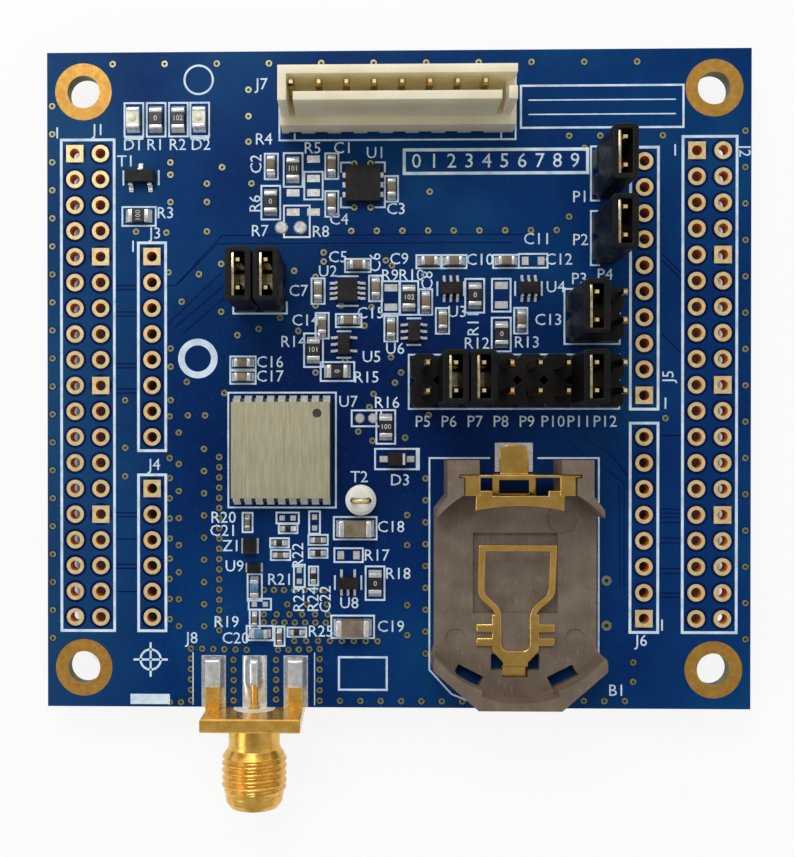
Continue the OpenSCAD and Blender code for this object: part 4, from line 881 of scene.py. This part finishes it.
# Tracks under the mask: points along each one
TRACKS = [
    [(-22.7, 9.3), (-21.8, 9.3), (-17.2, 14.2), (12.4, 14.2)],
    [(-21.6, 9.4), (-17.7, 13.4), (11.2, 13.4)],
    [(-22.6, 5.5), (-17.2, 10.6)], [(-21.8, 5.2), (-17.0, 9.3)], [(-21.0, 4.6), (-16.6, 8.4)],
    [(16.8, -6.1), (19.8, -8.8)], [(19.8, -8.2), (22.2, -10.2), (22.2, -20.3)],
    [(18.2, -5.7), (20.8, -7.2), (22.6, -9.5)], [(21.7, -10.3), (21.8, -20.3)],
    [(25.9, 12.2), (27.9, 10.2)], [(25.9, 11.6), (27.9, 9.6)], [(25.9, 4.4), (27.9, 2.4)],
]
# Level tracks between an inner and an outer header, right and left: their span along X, and their Y
RIGHT_SPAN = (25.7, 27.9)
LEFT_SPAN = (-28.0, -25.7)
RIGHT_TRACKS = (-5.5, -12.7, -13.1, -13.5, -14.0, -15.5, -16.0, -18.5, -19.0, -20.9, -21.3)
LEFT_TRACKS = (9.3, 8.9, 6.7, 6.3, 1.6, 1.2, -0.9, -1.3, -13.1, -13.5, -15.7, -18.2, -18.6, -20.9)


def tracks():
    """Copper runs that show as faint dark lines through the mask."""
    build = Build()
    level = [[(x, y) for x in span]
             for span, rows in ((RIGHT_SPAN, RIGHT_TRACKS), (LEFT_SPAN, LEFT_TRACKS)) for y in rows]
    for points in TRACKS + level:
        build.path(points, TRACK_W, BOARD_TOP, BOARD_TOP + MASK_STEP)
    build.piece("tracks", [TRACK_MASK], "board_mask")


# Marks on chips

RESISTOR_CODES = ("100", "0", "101", "0", "102", "0")
SHORTEST_CODED = 0.9
CODE_HEIGHT = 0.5
PRINT_T = 0.012


def chip_marks():
    """Plain number codes on the resistors, a band on the diode and the dot in the can's dimple."""
    codes = Build()
    labels = {}
    for i, (low, high) in enumerate(solids_of("resistor_bodies")):
        size = high - low
        if max(size.xy) > SHORTEST_CODED:
            middle = (low + high) / 2
            turn = 90 if size.y > size.x else 0
            label = (RESISTOR_CODES[i % len(RESISTOR_CODES)], middle.x, middle.y, turn)
            labels.setdefault(round(high.z, 3), []).append(label)
    for z, group in labels.items():
        write(codes, group, CODE_HEIGHT, z, PRINT_T)
    codes.piece("resistor_codes", [CODE_INK], "resistor_ceramic")
    band = Build()
    low, high = box_of("diode_body_block")
    near, far, side, cut = 0.42, 0.2, 0.1, 0.005
    band.block((high.x - near, low.y + side, high.z),
               (high.x - far, high.y - side, high.z + PRINT_T), cut)
    band.piece("diode_band", [CODE_INK], "chip_black")
    dot = Build()
    high = box_of("module_shield")[1]
    inset_x, inset_y, radius, floor_depth, top_depth = 1.2, 1.1, 0.42, 0.1, 0.07
    dot.disc(high.x - inset_x, high.y - inset_y, radius, high.z - floor_depth, high.z - top_depth, 24)
    dot.piece("can_index_dot", [ETCHED_INK], "shield_metal")


# Antenna jack

FLANGE_T = 1.3
NECK_R = 2.5
NECK_L = 2.2
THREAD_R = 3.175
THREAD_L = 6.0
THREAD_PITCH = 0.7056
THREAD_DEPTH = 0.34
LEG_W = 1.4
LEG_H = 1.2
PAD_T = 0.05
# The barrel's greatest radius along its length: lead-in at both ends of the thread
BARREL_LIMIT = ((0, 2.52), (0.3, 2.56), (1.2, THREAD_R), (4.1, THREAD_R), (4.5, 2.9), (5.5, 2.76),
                (6, 2.42))
BORE_GAP = 0.02

JACK_LOW, JACK_HIGH = box_of("antenna_jack_body")
BORE_LOW, BORE_HIGH = box_of("antenna_jack_insulator")
JACK_X = (JACK_LOW.x + JACK_HIGH.x) / 2
JACK_Z = (BORE_LOW.z + BORE_HIGH.z) / 2
FLANGE_HALF = (JACK_HIGH.x - JACK_LOW.x) / 2
BORE_R = (BORE_HIGH.x - BORE_LOW.x) / 2 + BORE_GAP
JACK_EDGE = BOARD_LOW.y
LEG_MIDDLES = (JACK_X - FLANGE_HALF + LEG_W / 2, JACK_X + FLANGE_HALF - LEG_W / 2)


def between(stops, at):
    """Value at a place on the line through some (place, value) stops."""
    for (a, low), (b, high) in zip(stops, stops[1:]):
        if at <= b:
            return low + (high - low) * max(0, at - a) / (b - a)
    return stops[-1][1]


def jack_ring(distance, radius, sides):
    """A ring round the jack's axis, some distance out from the board. The radius follows the angle."""
    ring = []
    for i in range(sides):
        angle = 2 * math.pi * i / sides
        r = radius(angle) if callable(radius) else radius
        ring.append((JACK_X + r * math.cos(angle), JACK_EDGE - distance, JACK_Z + r * math.sin(angle)))
    return ring


def thread_radius(along):
    """The radius round the barrel at a distance along it, on a right-hand screw thread."""
    limit = between(BARREL_LIMIT, along)

    def radius(angle):
        phase = (along / THREAD_PITCH - angle / (2 * math.pi)) % 1
        return min(limit, THREAD_R - THREAD_DEPTH * (0.5 - 0.5 * math.cos(2 * math.pi * phase)))

    return radius


def jack_body():
    """The jack's flange, legs, neck and threaded barrel, in the place of its plain solid."""
    build = Build()
    sides, steps_a_turn, overlap = 96, 12, 0.05
    start = FLANGE_T - overlap
    front = FLANGE_T + NECK_L
    steps = round(THREAD_L / THREAD_PITCH * steps_a_turn)
    rings = [jack_ring(start, BORE_R, sides), jack_ring(start, NECK_R, sides),
             jack_ring(front, NECK_R, sides)]
    for i in range(steps + 1):
        along = THREAD_L * i / steps
        rings.append(jack_ring(front + along, thread_radius(along), sides))
    rings.append(jack_ring(front + THREAD_L, BORE_R, sides))
    build.loft(rings, looped=True)

    def square(inset):
        return lambda angle: (FLANGE_HALF - inset) / max(abs(math.cos(angle)), abs(math.sin(angle)))

    edge, corners = 0.12, 64
    section = ((0, square(edge)), (edge, square(0)), (FLANGE_T - edge, square(0)),
               (FLANGE_T, square(edge)), (FLANGE_T, BORE_R), (0, BORE_R))
    build.loft([jack_ring(distance, radius, corners) for distance, radius in section], looped=True)
    leg_lap, leg_cut = 0.1, 0.1
    for x in LEG_MIDDLES:
        for z in (BOARD_TOP + PAD_T, BOARD_LOW.z - PAD_T - LEG_H):
            build.block((x - LEG_W / 2, JACK_EDGE - leg_lap, z), (x + LEG_W / 2, JACK_HIGH.y, z + LEG_H),
                        leg_cut)
    made = build.piece("antenna_jack_screw", [FINISHES["jack_gold"]], "jack_gold", smooth=True)
    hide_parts("antenna_jack_body")


# Height of the solder along a leg and along the contact's tail, as (share of length, share of height)
LEG_SWELLS = ((0, 0.5), (0.06, 0.96), (0.2, 1.0), (0.6, 0.97), (0.9, 1.0), (0.97, 0.8), (1, 0.25))
TAIL_SWELLS = ((0, 0.2), (0.34, 0.5), (0.46, 0.98), (0.6, 1.0), (0.9, 0.98), (0.97, 0.7), (1, 0.2))
# Where that solder starts and ends, from the board's edge
LEG_SOLDER = (1.95, 5.05)
TAIL_SOLDER = (0.5, 5.05)
# Half widths of its level top and of its foot, and its height over a leg
LEG_SOLDER_HALVES = (LEG_W / 2 + 0.05, 1.15)
TAIL_SOLDER_HALVES = (0.36, 1.1)
LEG_SOLDER_H = LEG_H + 0.1


def mound(build, x, reach, halves, height, base, up, swells):
    """Solder drawn along a leg: level over the core, with hollow sides and steep ends."""
    steps, across = 24, 12
    crown_dip, least, hollow = 0.06, 0.02, 1.8
    core, half = halves
    start, end = JACK_EDGE + reach[0], JACK_EDGE + reach[1]
    rings = []
    for j in range(steps + 1):
        y = start + (end - start) * j / steps
        swell = between(swells, j / steps)
        section = []
        for i in range(-across, across + 1):
            u = half * i / across
            fall = max(0, (abs(u) - core) / (half - core))
            crown = crown_dip * (min(abs(u), core) / core) ** 2
            rise = least + height * swell * (1 - fall) ** hollow * (1 - crown)
            section.append((x + u, y, base + up * rise))
        rings.append(section + [(x + half, y, base), (x - half, y, base)])
    build.loft(rings)


def jack_solder():
    """The solder on the jack's legs and contact, in the place of its plain solid."""
    build = Build()
    for base, up in ((BOARD_TOP + PAD_T, 1), (BOARD_LOW.z - PAD_T, -1)):
        for x in LEG_MIDDLES:
            mound(build, x, LEG_SOLDER, LEG_SOLDER_HALVES, LEG_SOLDER_H, base, up, LEG_SWELLS)
    tail_rise = solids_of("antenna_jack_contact")[0][1].z - BOARD_TOP
    mound(build, JACK_X, TAIL_SOLDER, TAIL_SOLDER_HALVES, tail_rise, BOARD_TOP + PAD_T, 1, TAIL_SWELLS)
    made = build.piece("antenna_jack_joints", [FINISHES["solder"]], "solder", smooth=True)
    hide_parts("antenna_jack_solder")


# Lens and light

def camera():
    """A camera over the board, at the photograph's standpoint, with its tilt and frame."""
    stand = Vector((-3.5, -6.55, BOARD_TOP + 110)) * MM
    aim = Vector((0.05, -4.8, BOARD_TOP)) * MM
    back = Vector((0.0207, 0.0058, 1)).normalized()
    frame_height = 84.15 * MM
    right = Vector((0, 1, 0)).cross(back).normalized()
    up = back.cross(right)
    sight = aim - stand
    data = bpy.data.cameras.new("camera")
    data.sensor_width = 36
    data.lens = data.sensor_width * -sight.dot(back) / frame_height
    data.shift_x = sight.dot(right) / frame_height
    data.shift_y = sight.dot(up) / frame_height
    data.clip_start = 0.005
    data.clip_end = 10
    made = show("camera", data)
    made.location = stand
    made.rotation_mode = "QUATERNION"
    made.rotation_quaternion = Matrix((right, up, back)).transposed().to_quaternion()
    bpy.context.scene.camera = made


def area_light(name, place, aim, size, watts):
    """A soft rectangular lamp."""
    data = bpy.data.lights.new(name, "AREA")
    data.shape = "RECTANGLE"
    data.size = size[0] * MM
    data.size_y = size[1] * MM
    data.energy = watts
    made = show(name, data)
    made.location = Vector(place) * MM
    made.rotation_mode = "QUATERNION"
    made.rotation_quaternion = (Vector(aim) - Vector(place)).to_track_quat("-Z", "Y")


def sky():
    """Soft studio surround: a bright band round the board, strongest behind it, and a dimmer crown."""
    world = bpy.data.worlds.new("studio")
    bpy.context.scene.world = world
    world.use_nodes = True
    tree = world.node_tree
    nodes = tree.nodes
    where = nodes.new("ShaderNodeTexCoord")
    split = nodes.new("ShaderNodeSeparateXYZ")
    ramp = nodes.new("ShaderNodeValToRGB")
    tones = ((0.0, 0.3), (0.5, 0.5), (0.62, 0.85), (0.78, 0.85), (0.9, 0.6), (0.97, 0.4), (1.0, 0.34))
    set_stops(ramp, [(at, (tone, tone, tone, 1)) for at, tone in tones])
    front_strength, back_strength = 0.45, 1.35
    tree.links.new(where.outputs["Generated"], split.inputs["Vector"])
    tree.links.new(spread(tree, split.outputs["Z"], -1, 1), ramp.inputs["Fac"])
    tree.links.new(ramp.outputs["Color"], nodes["Background"].inputs["Color"])
    tree.links.new(spread(tree, split.outputs["Y"], -1, 1, front_strength, back_strength),
                   nodes["Background"].inputs["Strength"])


def floor():
    """A pale floor that shows white to the camera, apart from under the board, where it keeps its real
    shade and its colour is painted darker as a painted shadow.
    """
    half, gap = 3000 * MM, 0.02 * MM
    z = cad_low.z - gap
    mesh = bpy.data.meshes.new("floor")
    mesh.from_pydata([(-half, -half, z), (half, -half, z), (half, half, z), (-half, half, z)], [],
                     [(0, 1, 2, 3)])
    made = show("floor", mesh)
    material = bpy.data.materials.new("floor_white")
    material.use_nodes = True
    tree = material.node_tree
    nodes = tree.nodes
    link = tree.links.new
    shader = nodes["Principled BSDF"]
    shader.inputs["Roughness"].default_value = 0.9
    glow = nodes.new("ShaderNodeEmission")
    glow.inputs["Strength"].default_value = 1.0
    path = nodes.new("ShaderNodeLightPath")
    where = nodes.new("ShaderNodeTexCoord")
    split = nodes.new("ShaderNodeSeparateXYZ")
    link(where.outputs["Object"], split.inputs["Vector"])

    def math_node(operation, first, second):
        node = nodes.new("ShaderNodeMath")
        node.operation = operation
        for socket, value in zip(node.inputs, (first, second)):
            if isinstance(value, (int, float)):
                socket.default_value = value
            else:
                link(value, socket)
        return node.outputs["Value"]

    def stretch(axis, reach):
        return math_node("ABSOLUTE", math_node("DIVIDE", split.outputs[axis], reach * MM), 0)

    # 0 under the middle of the board and 1 under its edges
    squareness = 8
    outward = math_node("ADD", math_node("POWER", stretch("X", BOARD_HIGH.x), squareness),
                        math_node("POWER", stretch("Y", BOARD_HIGH.y), squareness))
    seen = math_node("MAXIMUM", path.outputs["Is Camera Ray"], path.outputs["Is Glossy Ray"])
    seen = math_node("MAXIMUM", seen, path.outputs["Is Transmission Ray"])
    white_from, white_to, white_share = 0.62, 0.8, 0.88
    white = spread(tree, outward, white_from, white_to, 0, white_share, "SMOOTHSTEP")
    share = math_node("MULTIPLY", white, seen)
    # Painted shadow: the floor's colour is darker under the board, on top of its real shade there
    shade_from, shade_to, shade, pale = 0.5, 0.9, 0.2, 0.82
    tone = spread(tree, outward, shade_from, shade_to, shade, pale, "SMOOTHSTEP")
    link(tone, shader.inputs["Base Color"])
    mix = nodes.new("ShaderNodeMixShader")
    link(share, mix.inputs["Fac"])
    link(shader.outputs["BSDF"], mix.inputs[1])
    link(glow.outputs["Emission"], mix.inputs[2])
    link(mix.outputs["Shader"], nodes["Material Output"].inputs["Surface"])
    mesh.materials.append(material)


dress_nodes()
for softened, width in EDGE_ROUNDS.items():
    soften(softened, width)
for softened, width in CHIP_ROUNDS.items():
    soften(softened, width, join=0.01)
soften("module_shield", 0.03, 3, smooth=False)
soften("battery_base_contact", 0.08, join=0.02, level=2)
legend()
clearances()
tracks()
vias()
chip_marks()
jack_body()
jack_solder()
camera()
sky()
floor()
area_light("key", (-60, 190, 260), (0, 0, 0), (180, 140), 0.42)
area_light("side", (-220, -60, 160), (0, 0, 0), (120, 120), 0.1)
bpy.context.scene.view_settings.view_transform = "Standard"
